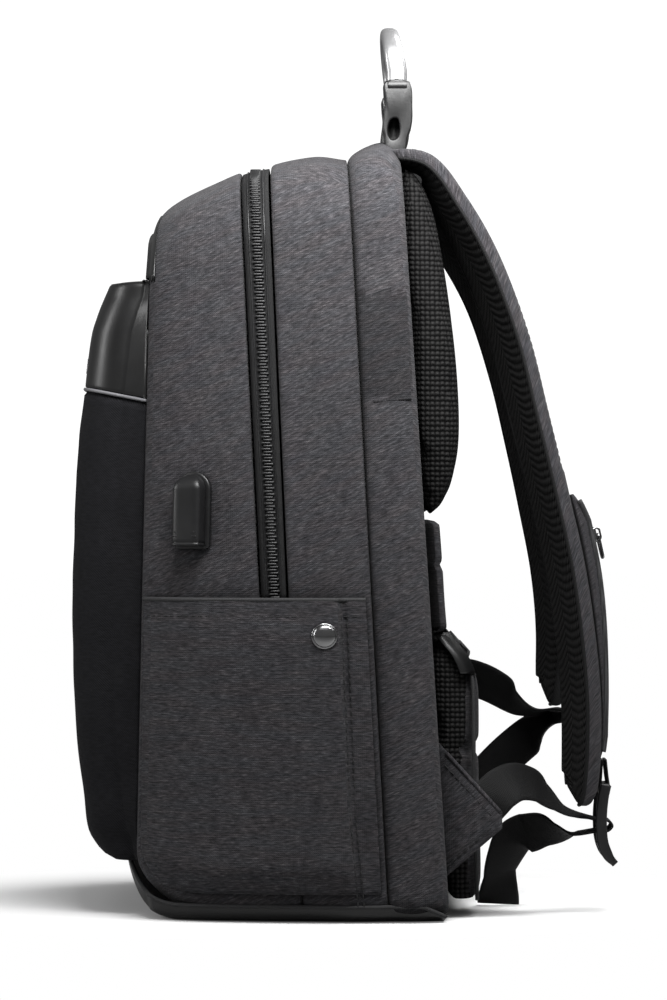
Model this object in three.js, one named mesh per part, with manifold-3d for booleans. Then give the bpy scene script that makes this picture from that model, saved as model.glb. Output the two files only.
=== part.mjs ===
// Laptop backpack, in millimetres. +Z is up and -Y is the front with the pocket.
// +X is the wearer's right. The origin is the middle of the flat base, on the floor.

import * as THREE from 'three';
import { mergeVertices } from 'three/addons/utils/BufferGeometryUtils.js';
import Module from 'manifold-3d';

const wasm = await Module();
wasm.setup();

// Body of the bag
const BODY_HEIGHT = 458;
const BODY_WIDTH = 300;
const BODY_DEPTH = 183;
const FRONT_RISE = 33;          // how far the bottom curves up at the front
const SIDE_TOP = 190;           // the sides are upright up to here
const TOP_TAPER = 0.93;         // width at the top as a share of the width below
const TOP_ARCH = 9;             // how far the top edge falls from its middle to its corners
const TOP_CORNER = 46;
const BOTTOM_CORNER = 12;
const LEAST_CORNER = 2;
const TOP_FLAT = 0.35;          // the top edge is nearly flat over this share of its half width
const FLAT_FALL = 0.15;         // share of the top arch that the edge falls over that flat
const CLOTH = 2;
const PADDED_WALL = 4;
const GAP = 0.3;                // free space between pieces that touch
const PAST = 5;                 // cutters run past what they cut
const ROUND_SHARE = 0.8;        // largest rounding as a share of the depth that it rounds

// Zips
const ZIP_END = 187;            // height where the main zip disappears into the side pockets
const TAPE_THICKNESS = 1.4;
const TAPE_SINK = 1.6;          // how far the tape lies below the cloth
const COIL_WIDTH = 6;
const COIL_HEIGHT = 1.2;
const LAPTOP_ZIP_SINK = 5;
const SLIDER = { width: 9, length: 12, thickness: 4, pullLength: 26, pullWidth: 7, pullThickness: 1.6 };

// Front pocket and yoke
const POCKET_TOP = BODY_HEIGHT - 85;
const POCKET_DEPTH = 44.5;
const POCKET_WIDTH = 226;
const POCKET_CORNER = 24;
const POCKET_SIDE_LEAN = 7;     // how far each side of the pocket leans in towards its front
const POCKET_CROWN = 2.5;       // how far the middle of the pocket's face stands proud
const POCKET_FLAT = 0.2;        // share of the crown that the flat middle keeps back
const POCKET_MIDDLE = 0.45;     // half width of that flat middle as a share of the face
const SEAM_HEIGHT = POCKET_TOP - 71;   // yoke seam at the bag, it climbs towards the front
const SEAM_CLIMB = 0.2;
const PIPING = 1.2;
const PIPING_SINK = 0.5;        // how far the piping ends short of the wall's inner face
const BADGE = { width: 34, height: 9.5, thickness: 1.6, z: POCKET_TOP - 48, corner: 1.5 };
const PANEL_THICKNESS = 2;

// Side pockets and snaps
const SIDE_POCKET_TOP = 187;
const SIDE_POCKET_PROUD = 10;
const SNAP = { diameter: 15, height: 3.6, y: 19.5, z: 166 };

// Charging port
const PORT = { width: 22, height: 45, proud: 12, flange: 2, lip: 2, y: -56, z: 238, reach: 12, arch: 0.8 };
const SOCKET = { width: 13.6, thickness: 7.6, depth: 13 };

// Pads on the back
const UPPER_PAD_WIDTH = 236;
const UPPER_PAD_THICKNESS = 24;
const UPPER_PAD_TOP = BODY_HEIGHT - 12;
const UPPER_PAD_BOTTOM = 232;
const BAND_WIDTH = 226.56;
const BAND_THICKNESS = 9;
const LUMBAR_WIDTH = 224;
const LUMBAR_THICKNESS = 24;
const LUMBAR_TOP = 167;
const LUMBAR_BOTTOM = 6;
const LUMBAR_POCKET = { width: 170, thickness: 9.5, bottom: 40 };

// Handle
const HANDLE_SPAN = 104;        // between the middles of the two tabs
const HANDLE_TOP = BODY_HEIGHT + 73;
const GRIP_DEPTH = 14;
const GRIP_THICKNESS = 9;
const GRIP_FOOT = HANDLE_TOP - 31;
const GRIP_FULLNESS = 0.6;      // below 1 the arch is squarer than half a circle
const GRIP_LEAN = 0.1;
const TAB_WIDTH = 22;
const TAB_Y = 62.5;
const TAB_SINK = 4;             // the tabs' feet are cut to the body's top, this far below its edge

// Shoulder straps
const STRAP_WIDTH = 65;
const STRAP_THICKNESS = 11;
const STRAP_ROUND = 0.35;       // rounding of the edges as a share of the thickness
const STRAP_TURN = 12;          // degrees that the straps turn their inner face to the right
const STRAP_POCKET_THICKNESS = 8.5;
const WEB_WIDTH = 25;
const WEB_THICKNESS = 1.6;
const WING_THICKNESS = 3;
const WING_X = 122.5;
const BUCKLE_WIDTH = 35;
const RAIL_WIDTH = 4.2;
const RAIL_THICKNESS = 6.4;
const BUCKLE_BAR = 3;

// Materials
const finish = (color, roughness, metalness = 0) => ({ color, roughness, metalness });
const MELANGE = finish(0x4b4b50, 0.95);
const TWILL = finish(0x26262b, 0.9);
const COATED = finish(0x1d1d1f, 0.45);
const MESH_CLOTH = finish(0x17171a, 0.95);
const ZIP_TAPE = finish(0x2c2c2a, 0.85);
const WEBBING = finish(0x1c1b1d, 0.7);
const PLASTIC = finish(0x2a2b2f, 0.5);
const PIPING_CORD = finish(0x8c8c90, 0.7);
const METAL = finish(0xc8c8cc, 0.2, 1);
const PALE_GRIP = finish(0xe4e4e6, 0.3, 0.6);

// Sections of the body from front to back. y and width are shares of the body's depth and width,
// lean is how far the section moves back for each unit of height, rise is a share of the front
// rise and top is a share of the body's height.
const SECTIONS = {
  frontEdge:    { y: -0.497, lean: 0.030,  width: 0.786, rise: 1.00, top: 0.865 },
  frontTurn:    { y: -0.456, lean: 0.020,  width: 0.823, rise: 0.60, top: 0.885 },
  frontFlank:   { y: -0.383, lean: 0.010,  width: 0.868, rise: 0.24, top: 0.900 },
  frontCheek:   { y: -0.279, lean: 0.000,  width: 0.918, rise: 0.11, top: 0.920 },
  zipFront:     { y: -0.049, lean: -0.049, width: 0.964, rise: 0.10, top: 0.946 },
  zipRear:      { y: 0.040,  lean: -0.045, width: 0.974, rise: 0.10, top: 0.957 },
  rearBelly:    { y: 0.191,  lean: -0.047, width: 0.994, rise: 0.10, top: 0.964 },
  deepFront:    { y: 0.298,  lean: -0.053, width: 0.988, rise: 0.10, top: 0.958 },
  laptopFront:  { y: 0.314,  lean: -0.053, width: 0.982, rise: 0.10, top: 0.961 },
  laptopBelly:  { y: 0.380,  lean: -0.057, width: 0.986, rise: 0.10, top: 0.976 },
  laptopBack:   { y: 0.448,  lean: -0.061, width: 0.970, rise: 0.10, top: 1.000 },
  rearEdge:     { y: 0.503,  lean: -0.063, width: 0.933, rise: 0.12, top: 0.985 },
};

// Geometry helpers

const radians = THREE.MathUtils.degToRad;

// A closed solid through rings of points. Every ring has the same number of points.
function loftRings(rings) {
  const count = rings[0].length;
  const positions = [];
  const indices = [];
  for (const ring of rings) {
    for (const point of ring) positions.push(point.x, point.y, point.z);
  }
  for (let r = 0; r + 1 < rings.length; r += 1) {
    for (let i = 0; i < count; i += 1) {
      const a = r * count + i;
      const b = r * count + (i + 1) % count;
      indices.push(a, b, a + count, b, b + count, a + count);
    }
  }
  for (const [ring, start] of [[rings[0], 0], [rings.at(-1), (rings.length - 1) * count]]) {
    const middle = new THREE.Vector3();
    for (const point of ring) middle.addScaledVector(point, 1 / count);
    positions.push(middle.x, middle.y, middle.z);
    const centre = positions.length / 3 - 1;
    for (let i = 0; i < count; i += 1) {
      const a = start + i;
      const b = start + (i + 1) % count;
      if (start === 0) indices.push(b, a, centre);
      else indices.push(a, b, centre);
    }
  }
  const geometry = new THREE.BufferGeometry();
  geometry.setAttribute('position', new THREE.Float32BufferAttribute(positions, 3));
  geometry.setIndex(indices);
  return signedVolume(geometry) < 0 ? turnInsideOut(geometry) : geometry;
}

function signedVolume(geometry) {
  const position = geometry.getAttribute('position');
  const corner = [new THREE.Vector3(), new THREE.Vector3(), new THREE.Vector3()];
  let volume = 0;
  for (let i = 0; i < geometry.index.count; i += 3) {
    for (let k = 0; k < 3; k += 1) corner[k].fromBufferAttribute(position, geometry.index.getX(i + k));
    volume += corner[0].dot(corner[1].cross(corner[2])) / 6;
  }
  return volume;
}

function turnInsideOut(geometry) {
  const order = Array.from(geometry.index.array);
  for (let i = 0; i < order.length; i += 3) {
    [order[i + 1], order[i + 2]] = [order[i + 2], order[i + 1]];
  }
  geometry.setIndex(order);
  return geometry;
}

// The solid that the boolean operations work on
function toSolid(geometry) {
  const bare = geometry.clone();
  for (const name of Object.keys(bare.attributes)) {
    if (name !== 'position') bare.deleteAttribute(name);
  }
  const merged = mergeVertices(bare, 1e-4);
  return new wasm.Manifold(new wasm.Mesh({
    numProp: 3,
    vertProperties: new Float32Array(merged.getAttribute('position').array),
    triVerts: new Uint32Array(merged.index.array),
  }));
}

function toGeometry(solid) {
  const mesh = solid.getMesh();
  const geometry = new THREE.BufferGeometry();
  geometry.setAttribute('position', new THREE.BufferAttribute(mesh.vertProperties, 3));
  geometry.setIndex(new THREE.BufferAttribute(mesh.triVerts, 1));
  return geometry;
}

const mirrored = (solid) => toSolid(turnInsideOut(toGeometry(solid).scale(-1, 1, 1)));

// A solid with the outline of [y, z] corners, from xLow to xHigh
function sidePrism(corners, xLow, xHigh) {
  const shape = new THREE.Shape(corners.map(([y, z]) => new THREE.Vector2(y, z)));
  const geometry = new THREE.ExtrudeGeometry(shape, { depth: xHigh - xLow, bevelEnabled: false });
  const axes = new THREE.Matrix4().makeBasis(
    new THREE.Vector3(0, 1, 0), new THREE.Vector3(0, 0, 1), new THREE.Vector3(1, 0, 0));
  return geometry.applyMatrix4(axes).translate(xLow, 0, 0);
}

// A block from its low corner to its high corner
function block(low, high) {
  const size = high.map((value, i) => value - low[i]);
  return new THREE.BoxGeometry(...size).translate(...low.map((value, i) => value + size[i] / 2));
}

function roundedShape(width, height, radius) {
  const x = width / 2;
  const y = height / 2;
  const shape = new THREE.Shape();
  shape.moveTo(x - radius, -y);
  shape.absarc(x - radius, -y + radius, radius, -Math.PI / 2, 0);
  shape.absarc(x - radius, y - radius, radius, 0, Math.PI / 2);
  shape.absarc(-x + radius, y - radius, radius, Math.PI / 2, Math.PI);
  shape.absarc(-x + radius, -y + radius, radius, Math.PI, Math.PI * 1.5);
  return shape;
}

// Body outline

// Half of an arc round a corner, as [x, z] pairs
function cornerArc(x, z, radius, fromDegrees, steps) {
  return Array.from({ length: steps + 1 }, (_, i) => {
    const angle = radians(fromDegrees + 90 * i / steps);
    return [x + radius * Math.cos(angle), z + radius * Math.sin(angle)];
  });
}

const plane = (section, z, shift = 0) => section.y * BODY_DEPTH + section.lean * z + shift;
const backPlane = (z, shift = 0) => plane(SECTIONS.rearEdge, z, shift);
const frontPlane = (z, shift = 0) => plane(SECTIONS.frontEdge, z, shift);

// One ring of the body. inset draws it in on all sides and shift moves it back.
function bodyRing({ section, inset = 0, shift = 0 }) {
  const half = section.width * BODY_WIDTH / 2 - inset;
  const bottom = section.rise * FRONT_RISE + inset;
  const top = section.top * BODY_HEIGHT - inset;
  const topHalf = section.width * BODY_WIDTH / 2 * TOP_TAPER - inset;
  const topCorner = Math.max(TOP_CORNER - inset, LEAST_CORNER);
  const bottomCorner = Math.max(BOTTOM_CORNER - inset, LEAST_CORNER);
  const right = [
    ...cornerArc(half - bottomCorner, bottom + bottomCorner, bottomCorner, -90, 4),
    [half, SIDE_TOP],
    ...cornerArc(topHalf - topCorner, top - TOP_ARCH - topCorner, topCorner, 0, 6),
    [topHalf * TOP_FLAT, top - TOP_ARCH * FLAT_FALL],
  ];
  const left = right.map(([x, z]) => [-x, z]).reverse();
  return [...right, ...left].map(([x, z]) => new THREE.Vector3(x, plane(section, z, shift), z));
}

const bodyLoft = (rows) => loftRings(rows.map(bodyRing));

// Rows of the body with one inset, their first and last ones moved along the bag's depth
function bodyRows(names, inset, firstShift, lastShift) {
  return names.map((name, i) => {
    let shift = 0;
    if (i === 0) shift = firstShift;
    if (i === names.length - 1) shift = lastShift;
    return { section: SECTIONS[name], inset, shift };
  });
}

// Half the body's width where its side meets a height below SIDE_TOP
function sideAt(y, z) {
  const sections = Object.values(SECTIONS);
  for (let i = 0; i + 1 < sections.length; i += 1) {
    const low = plane(sections[i], z);
    const high = plane(sections[i + 1], z);
    if (y >= low && y <= high) {
      const share = (y - low) / (high - low);
      return THREE.MathUtils.lerp(sections[i].width, sections[i + 1].width, share) * BODY_WIDTH / 2;
    }
  }
  return sections.at(-1).width * BODY_WIDTH / 2;
}

// Body shells

// The whole body with the free space that pieces on it keep
const clearBody = toSolid(bodyLoft(bodyRows(Object.keys(SECTIONS), -GAP, -GAP, GAP)));

// The space of the main zip, above its ends
function zipSpace(frontShift, rearShift, zLow) {
  const zHigh = BODY_HEIGHT + PAST;
  const corners = [
    [plane(SECTIONS.zipFront, zLow, frontShift), zLow],
    [plane(SECTIONS.zipRear, zLow, rearShift), zLow],
    [plane(SECTIONS.zipRear, zHigh, rearShift), zHigh],
    [plane(SECTIONS.zipFront, zHigh, frontShift), zHigh],
  ];
  return toSolid(sidePrism(corners, -BODY_WIDTH, BODY_WIDTH));
}

function mainFrontShell() {
  const names = ['frontEdge', 'frontTurn', 'frontFlank', 'frontCheek', 'zipFront', 'zipRear'];
  const outer = toSolid(bodyLoft(bodyRows(names, 0, 0, -GAP)));
  const inner = toSolid(bodyLoft(bodyRows(names, CLOTH, CLOTH, PAST)));
  return outer.subtract(inner).subtract(zipSpace(0, PAST, ZIP_END));
}

function mainRearShell() {
  const names = ['zipRear', 'rearBelly', 'deepFront'];
  const outer = toSolid(bodyLoft(bodyRows(names, 0, 0, 0)));
  const inner = toSolid(bodyLoft(bodyRows(names, CLOTH, -PAST, -PADDED_WALL)));
  return outer.subtract(inner);
}

function laptopShell() {
  const names = ['laptopFront', 'laptopBelly', 'laptopBack', 'rearEdge'];
  const outer = toSolid(bodyLoft(bodyRows(names, 0, 0, 0)));
  const inner = toSolid(bodyLoft(bodyRows(names, CLOTH, -PAST, -PADDED_WALL)));
  return outer.subtract(inner);
}

// A band round the body between two sections, from one depth under the cloth to another
function bodyBand(names, frontShift, rearShift, outerInset, thickness) {
  const outer = toSolid(bodyLoft(bodyRows(names, outerInset, frontShift, rearShift)));
  const inner = bodyRows(names, outerInset + thickness, frontShift - PAST, rearShift + PAST);
  return outer.subtract(toSolid(bodyLoft(inner)));
}

function mainZipTape() {
  const band = bodyBand(['zipFront', 'zipRear'], GAP, -GAP, TAPE_SINK, TAPE_THICKNESS);
  return band.intersect(zipSpace(0, 0, ZIP_END + GAP));
}

function mainZipCoil() {
  const outer = TAPE_SINK - GAP - COIL_HEIGHT;
  const middle = (plane(SECTIONS.zipRear, SIDE_TOP) - plane(SECTIONS.zipFront, SIDE_TOP) - COIL_WIDTH) / 2;
  const band = bodyBand(['zipFront', 'zipRear'], middle, -middle, outer, COIL_HEIGHT);
  return band.intersect(zipSpace(0, 0, ZIP_END + GAP));
}

function laptopZip() {
  return bodyBand(['deepFront', 'laptopFront'], GAP, -GAP, LAPTOP_ZIP_SINK, TAPE_THICKNESS);
}

// The slider and its pull as one plain piece, on the side that the photograph doesn't show
function mainZipSlider() {
  const z = ZIP_END + SLIDER.pullLength + SLIDER.length;
  const y = (plane(SECTIONS.zipFront, z) + plane(SECTIONS.zipRear, z)) / 2;
  const taper = (z - SIDE_TOP) / (BODY_HEIGHT * SECTIONS.zipRear.top - TOP_ARCH - TOP_CORNER - SIDE_TOP);
  const lean = THREE.MathUtils.lerp(1, TOP_TAPER, taper);
  const x = -(SECTIONS.zipRear.width * BODY_WIDTH / 2 * lean + GAP);
  const body = toSolid(block([x - SLIDER.thickness, y - SLIDER.width / 2, z - SLIDER.length / 2],
    [x, y + SLIDER.width / 2, z + SLIDER.length / 2]));
  const pull = toSolid(block([x - SLIDER.thickness, y - SLIDER.pullWidth / 2, z - SLIDER.pullLength],
    [x - SLIDER.thickness + SLIDER.pullThickness, y + SLIDER.pullWidth / 2, z]));
  return body.add(pull);
}

// Side view of the underside: y as a share of the body's depth and z as a share of the front rise
const BASE_OUTLINE = [
  [-0.557, 0.97], [-0.522, 0.57], [-0.464, 0.20], [-0.393, 0], [0.49, 0], [0.49, 0.09],
  [-0.25, 0.09], [-0.36, 0.22], [-0.43, 0.55], [-0.46, 0.97],
];

// The underside, a sheet that curves up at the front to the pocket
function basePanel() {
  const corners = BASE_OUTLINE.map(([y, z]) => [y * BODY_DEPTH, z * FRONT_RISE]);
  const plan = Object.values(SECTIONS).map((section) => (
    [section.width * BODY_WIDTH / 2 - BOTTOM_CORNER / 2, section.y * BODY_DEPTH]));
  const front = [plan[0][0] - BOTTOM_CORNER, BASE_OUTLINE[0][0] * BODY_DEPTH];
  const right = [front, ...plan];
  const shape = new THREE.Shape([...right, ...right.map(([x, y]) => [-x, y]).reverse()]
    .map(([x, y]) => new THREE.Vector2(x, y)));
  const mask = new THREE.ExtrudeGeometry(shape, { depth: FRONT_RISE + PAST, bevelEnabled: false });
  return toSolid(sidePrism(corners, -BODY_WIDTH / 2, BODY_WIDTH / 2))
    .intersect(toSolid(mask.translate(0, 0, -1))).subtract(clearBody);
}

// Front pocket and yoke

// Levels of the pocket from its bottom to its top: height as a share of its top, depth as a share
// of its full depth and width as a share of its full width
const POCKET_LEVELS = [
  { z: 0.088, depth: 0.36, width: 0.93 },
  { z: 0.098, depth: 0.52, width: 0.95 },
  { z: 0.116, depth: 0.65, width: 0.965 },
  { z: 0.145, depth: 0.74, width: 0.98 },
  { z: 0.225, depth: 0.85, width: 0.99 },
  { z: 0.330, depth: 0.94, width: 1.0 },
  { z: 0.480, depth: 1.0, width: 1.0 },
  { z: 0.640, depth: 0.99, width: 1.0 },
  { z: 0.745, depth: 0.975, width: 0.995 },
  { z: 0.834, depth: 0.94, width: 0.99 },
  { z: 0.911, depth: 0.86, width: 0.975 },
  { z: 0.941, depth: 0.78, width: 0.965 },
  { z: 0.968, depth: 0.70, width: 0.95 },
  { z: 1.0, depth: 0.58, width: 0.93 },
];

function pocketRing(level, inset, rearShift, zShift) {
  const z = level.z * POCKET_TOP + zShift;
  const rear = frontPlane(z, rearShift);
  const front = frontPlane(z) - level.depth * POCKET_DEPTH + inset;
  const half = level.width * POCKET_WIDTH / 2 - inset;
  const depth = frontPlane(z) - front;
  const corner = Math.min(POCKET_CORNER, depth * ROUND_SHARE);
  const frontHalf = half - POCKET_SIDE_LEAN * level.depth - corner;
  const right = [[half, rear]];
  for (let i = 0; i <= 5; i += 1) {
    const angle = radians(18 * i);
    right.push([frontHalf + corner * Math.cos(angle),
      front + POCKET_CROWN + corner * (1 - Math.sin(angle))]);
  }
  right.push([frontHalf * POCKET_MIDDLE, front + POCKET_CROWN * POCKET_FLAT]);
  const left = right.map(([x, y]) => [-x, y]).reverse();
  return [...right, ...left].map(([x, y]) => new THREE.Vector3(x, y, z));
}

function pocketLoft(inset, rearShift, endInset) {
  const last = POCKET_LEVELS.length - 1;
  return toSolid(loftRings(POCKET_LEVELS.map((level, i) => {
    let zShift = 0;
    if (i === 0) zShift = endInset;
    if (i === last) zShift = -endInset;
    return pocketRing(level, inset, rearShift, zShift);
  })));
}

// Everything between two distances from the yoke's seam
function seamSlab(low, high) {
  const near = 0;
  const far = -BODY_DEPTH;
  const seam = (y) => SEAM_HEIGHT + SEAM_CLIMB * (frontPlane(SEAM_HEIGHT) - y);
  return toSolid(sidePrism([[near, seam(near) + low], [near, seam(near) + high],
    [far, seam(far) + high], [far, seam(far) + low]].reverse(), -BODY_WIDTH, BODY_WIDTH));
}

const pocketWall = () => pocketLoft(0, -GAP, 0).subtract(pocketLoft(CLOTH, PAST, CLOTH));
const seamHalf = PIPING / 2 + GAP;
const frontPocket = () => pocketWall().intersect(seamSlab(-BODY_HEIGHT, -seamHalf));
const frontYoke = () => pocketWall().intersect(seamSlab(seamHalf, BODY_HEIGHT));

function yokePiping() {
  const strip = pocketLoft(-PIPING / 2, -GAP, 0).subtract(pocketLoft(CLOTH - PIPING_SINK, PAST, CLOTH));
  return strip.intersect(seamSlab(-PIPING / 2, PIPING / 2));
}

// The pocket's face at a height: its place and how far it leans back
function pocketFace(z) {
  for (let i = 0; i + 1 < POCKET_LEVELS.length; i += 1) {
    const [low, high] = [POCKET_LEVELS[i], POCKET_LEVELS[i + 1]];
    if (z >= low.z * POCKET_TOP && z <= high.z * POCKET_TOP) {
      const yLow = frontPlane(low.z * POCKET_TOP) - low.depth * POCKET_DEPTH;
      const yHigh = frontPlane(high.z * POCKET_TOP) - high.depth * POCKET_DEPTH;
      const rise = (high.z - low.z) * POCKET_TOP;
      const share = (z - low.z * POCKET_TOP) / rise;
      const middle = POCKET_CROWN * POCKET_FLAT;
      return { y: THREE.MathUtils.lerp(yLow, yHigh, share) + middle, lean: Math.atan2(yHigh - yLow, rise) };
    }
  }
  return { y: frontPlane(z), lean: 0 };
}

function badgePlate() {
  const face = pocketFace(BADGE.z);
  const plate = new THREE.ExtrudeGeometry(roundedShape(BADGE.width, BADGE.height, BADGE.corner),
    { depth: BADGE.thickness, bevelEnabled: false, curveSegments: 3 });
  plate.rotateX(Math.PI / 2 - face.lean);
  return toSolid(plate.translate(0, face.y - GAP, BADGE.z));
}

function frontUpperPanel() {
  const rows = [
    { section: SECTIONS.frontEdge, inset: PANEL_THICKNESS, shift: -GAP - PANEL_THICKNESS },
    { section: SECTIONS.frontEdge, inset: 0, shift: -GAP },
  ];
  const above = block([-BODY_WIDTH, -BODY_DEPTH, POCKET_TOP + GAP], [BODY_WIDTH, 0, BODY_HEIGHT]);
  return toSolid(bodyLoft(rows)).intersect(toSolid(above));
}

// Side pockets

// Places along the pocket from front to back. y is a share of the body's depth, lean is how
// far the place moves back for each unit of height, proud is a share of the pocket's fullness and
// low is the height of its lower edge as a share of the front rise.
const SIDE_POCKET_ROWS = [
  { y: -0.480, lean: 0.012, proud: 0.28, low: 1.15 },
  { y: -0.450, lean: 0.012, proud: 0.50, low: 0.80 },
  { y: -0.400, lean: 0.010, proud: 0.75, low: 0.55 },
  { y: -0.300, lean: 0.005, proud: 0.92, low: 0.43 },
  { y: -0.150, lean: 0, proud: 1, low: 0.42 },
  { y: 0.070, lean: 0, proud: 1, low: 0.42 },
  { y: 0.170, lean: -0.030, proud: 0.85, low: 0.42 },
  { y: 0.226, lean: -0.060, proud: 0.28, low: 0.42 },
  { y: 0.290, lean: -0.053, proud: 0.26, low: 0.42 },
];

function sidePocketRing(row, outerInset, lift, high) {
  const depth = BOTTOM_CORNER + CLOTH;
  const corner = (z, outer) => {
    const y = row.y * BODY_DEPTH + row.lean * z;
    const proud = outer ? row.proud * SIDE_POCKET_PROUD - outerInset : -depth;
    return new THREE.Vector3(sideAt(y, z) + proud, y, z);
  };
  const low = row.low * FRONT_RISE + lift;
  return [corner(low, false), corner(low, true), corner(high, true), corner(high, false)];
}

function sidePocket(side) {
  const outer = loftRings(SIDE_POCKET_ROWS.map((row) => sidePocketRing(row, 0, 0, SIDE_POCKET_TOP)));
  const inner = loftRings(SIDE_POCKET_ROWS.slice(2, 7).map((row) => (
    sidePocketRing(row, CLOTH, CLOTH, SIDE_POCKET_TOP + PAST))));
  const pocket = toSolid(outer).subtract(toSolid(inner));
  return (side > 0 ? pocket : mirrored(pocket)).subtract(clearBody);
}

// Height of the pocket's outer face over the middle plane, at the snap
function snapSeat() {
  const rows = SIDE_POCKET_ROWS;
  for (let i = 0; i + 1 < rows.length; i += 1) {
    const low = rows[i].y * BODY_DEPTH + rows[i].lean * SNAP.z;
    const high = rows[i + 1].y * BODY_DEPTH + rows[i + 1].lean * SNAP.z;
    if (SNAP.y >= low && SNAP.y <= high) {
      const faces = [[rows[i], low], [rows[i + 1], high]].map(([row, y]) => (
        sideAt(y, SNAP.z) + row.proud * SIDE_POCKET_PROUD));
      const turn = Math.atan2(faces[1] - faces[0], high - low);
      const share = (SNAP.y - low) / (high - low);
      return { x: THREE.MathUtils.lerp(faces[0], faces[1], share), turn };
    }
  }
  return { x: BODY_WIDTH / 2, turn: 0 };
}

function snap() {
  const radius = SNAP.diameter / 2;
  const profile = [[0, 0], [radius, 0], [radius, 1], [radius * 0.9, SNAP.height * 0.55],
    [radius * 0.6, SNAP.height * 0.88], [0, SNAP.height]];
  const cap = new THREE.LatheGeometry(profile.map(([r, h]) => new THREE.Vector2(r, h)), 24);
  const seat = snapSeat();
  cap.rotateZ(-Math.PI / 2).rotateZ(-seat.turn);
  return toSolid(cap.translate(seat.x + GAP, SNAP.y, SNAP.z));
}

// Charging port, modelled upright and then turned to lie on the bag's side

function chargingPort() {
  const arch = (width, height) => {
    const shape = new THREE.Shape();
    const radius = width / 2;
    shape.moveTo(-radius, -height / 2);
    shape.lineTo(radius, -height / 2);
    shape.absarc(0, height / 2 - radius * PORT.arch, radius, 0, Math.PI);
    return shape;
  };
  const settings = (depth) => ({ depth, bevelEnabled: false, curveSegments: 10 });
  const flange = new THREE.ExtrudeGeometry(arch(PORT.width, PORT.height), settings(PORT.flange));
  const face = arch(PORT.width - 2 * PORT.lip, PORT.height - 2 * PORT.lip);
  const body = new THREE.ExtrudeGeometry(face, settings(PORT.proud));
  const slot = block(
    [-SOCKET.width / 2, -PORT.height, PORT.proud - PORT.lip / 2 - SOCKET.thickness],
    [SOCKET.width / 2, -PORT.height / 2 + PORT.lip + SOCKET.depth, PORT.proud - PORT.lip / 2]);
  const solid = toSolid(flange).add(toSolid(body)).subtract(toSolid(slot));
  const rise = sideAt(PORT.y + PORT.reach, PORT.z) - sideAt(PORT.y - PORT.reach, PORT.z);
  const turn = Math.atan2(rise, 2 * PORT.reach);
  const upper = (PORT.z - SIDE_TOP) / (BODY_HEIGHT * SECTIONS.frontCheek.top - TOP_CORNER - SIDE_TOP);
  const side = sideAt(PORT.y, PORT.z) * THREE.MathUtils.lerp(1, TOP_TAPER, upper);
  const geometry = toGeometry(solid).rotateX(Math.PI / 2).rotateZ(Math.PI / 2 - turn);
  return toSolid(geometry.translate(side, PORT.y, PORT.z)).subtract(clearBody);
}

// Pads on the back

// Sections of a pad from its bottom to its top. rise is a share of the way up, depth a share of
// the pad's thickness and width a share of its width.
const PAD_PROFILES = {
  upper: [
    { rise: 0.00, depth: 0.10, width: 0.88 }, { rise: 0.04, depth: 0.45, width: 0.93 },
    { rise: 0.11, depth: 0.72, width: 0.97 }, { rise: 0.22, depth: 0.92, width: 1.00 },
    { rise: 0.38, depth: 0.97, width: 1.00 }, { rise: 0.55, depth: 0.92, width: 0.99 },
    { rise: 0.75, depth: 0.77, width: 0.96 }, { rise: 0.88, depth: 0.60, width: 0.91 },
    { rise: 0.96, depth: 0.32, width: 0.86 }, { rise: 1.00, depth: 0.08, width: 0.82 },
  ],
  lumbar: [
    { rise: 0.00, depth: 0.78, width: 0.96 }, { rise: 0.20, depth: 0.82, width: 0.99 },
    { rise: 0.45, depth: 0.88, width: 1.00 }, { rise: 0.70, depth: 0.98, width: 1.00 },
    { rise: 0.82, depth: 1.00, width: 0.99 }, { rise: 0.90, depth: 0.84, width: 0.98 },
    { rise: 0.955, depth: 0.58, width: 0.96 }, { rise: 1.00, depth: 0.36, width: 0.94 },
  ],
};

function padRing({ z, half, depth, shift = 0 }) {
  const rear = backPlane(z, GAP + shift);
  const round = Math.min(depth * ROUND_SHARE, half / 2);
  const right = [[half, rear]];
  for (let i = 0; i <= 4; i += 1) {
    const angle = radians(22.5 * i);
    right.push([half - round + round * Math.cos(angle), rear + depth - round + round * Math.sin(angle)]);
  }
  const left = right.map(([x, y]) => [-x, y]).reverse();
  return [...right, ...left].map(([x, y]) => new THREE.Vector3(x, y, z));
}

function pad(profile, width, thickness, bottom, top) {
  return toSolid(loftRings(profile.map((row) => padRing({
    z: THREE.MathUtils.lerp(bottom, top, row.rise),
    half: row.width * width / 2,
    depth: row.depth * thickness,
  }))));
}

const upperBackPad = () => pad(
  PAD_PROFILES.upper, UPPER_PAD_WIDTH, UPPER_PAD_THICKNESS, UPPER_PAD_BOTTOM, UPPER_PAD_TOP);

function backBand() {
  const low = LUMBAR_TOP + GAP;
  const high = UPPER_PAD_BOTTOM - GAP;
  return toSolid(loftRings([low, high].map((z) => (
    padRing({ z, half: BAND_WIDTH / 2, depth: BAND_THICKNESS })))));
}

// Where the hidden pocket inside the lumbar pad lies, behind its padding
const lumbarPocketRear = (z) => backPlane(z, GAP + CLOTH);

function lumbarSpace(inset) {
  const half = LUMBAR_POCKET.width / 2 - inset;
  const ring = (z) => [[half, 0], [half, 1], [-half, 1], [-half, 0]].map(([x, side]) => (
    new THREE.Vector3(x, lumbarPocketRear(z) + (side ? LUMBAR_POCKET.thickness - inset : inset), z)));
  return toSolid(loftRings([ring(LUMBAR_POCKET.bottom), ring(LUMBAR_TOP + PAST)]));
}

const lumbarPad = () => pad(
  PAD_PROFILES.lumbar, LUMBAR_WIDTH, LUMBAR_THICKNESS, LUMBAR_BOTTOM, LUMBAR_TOP)
  .subtract(lumbarSpace(0));

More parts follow.
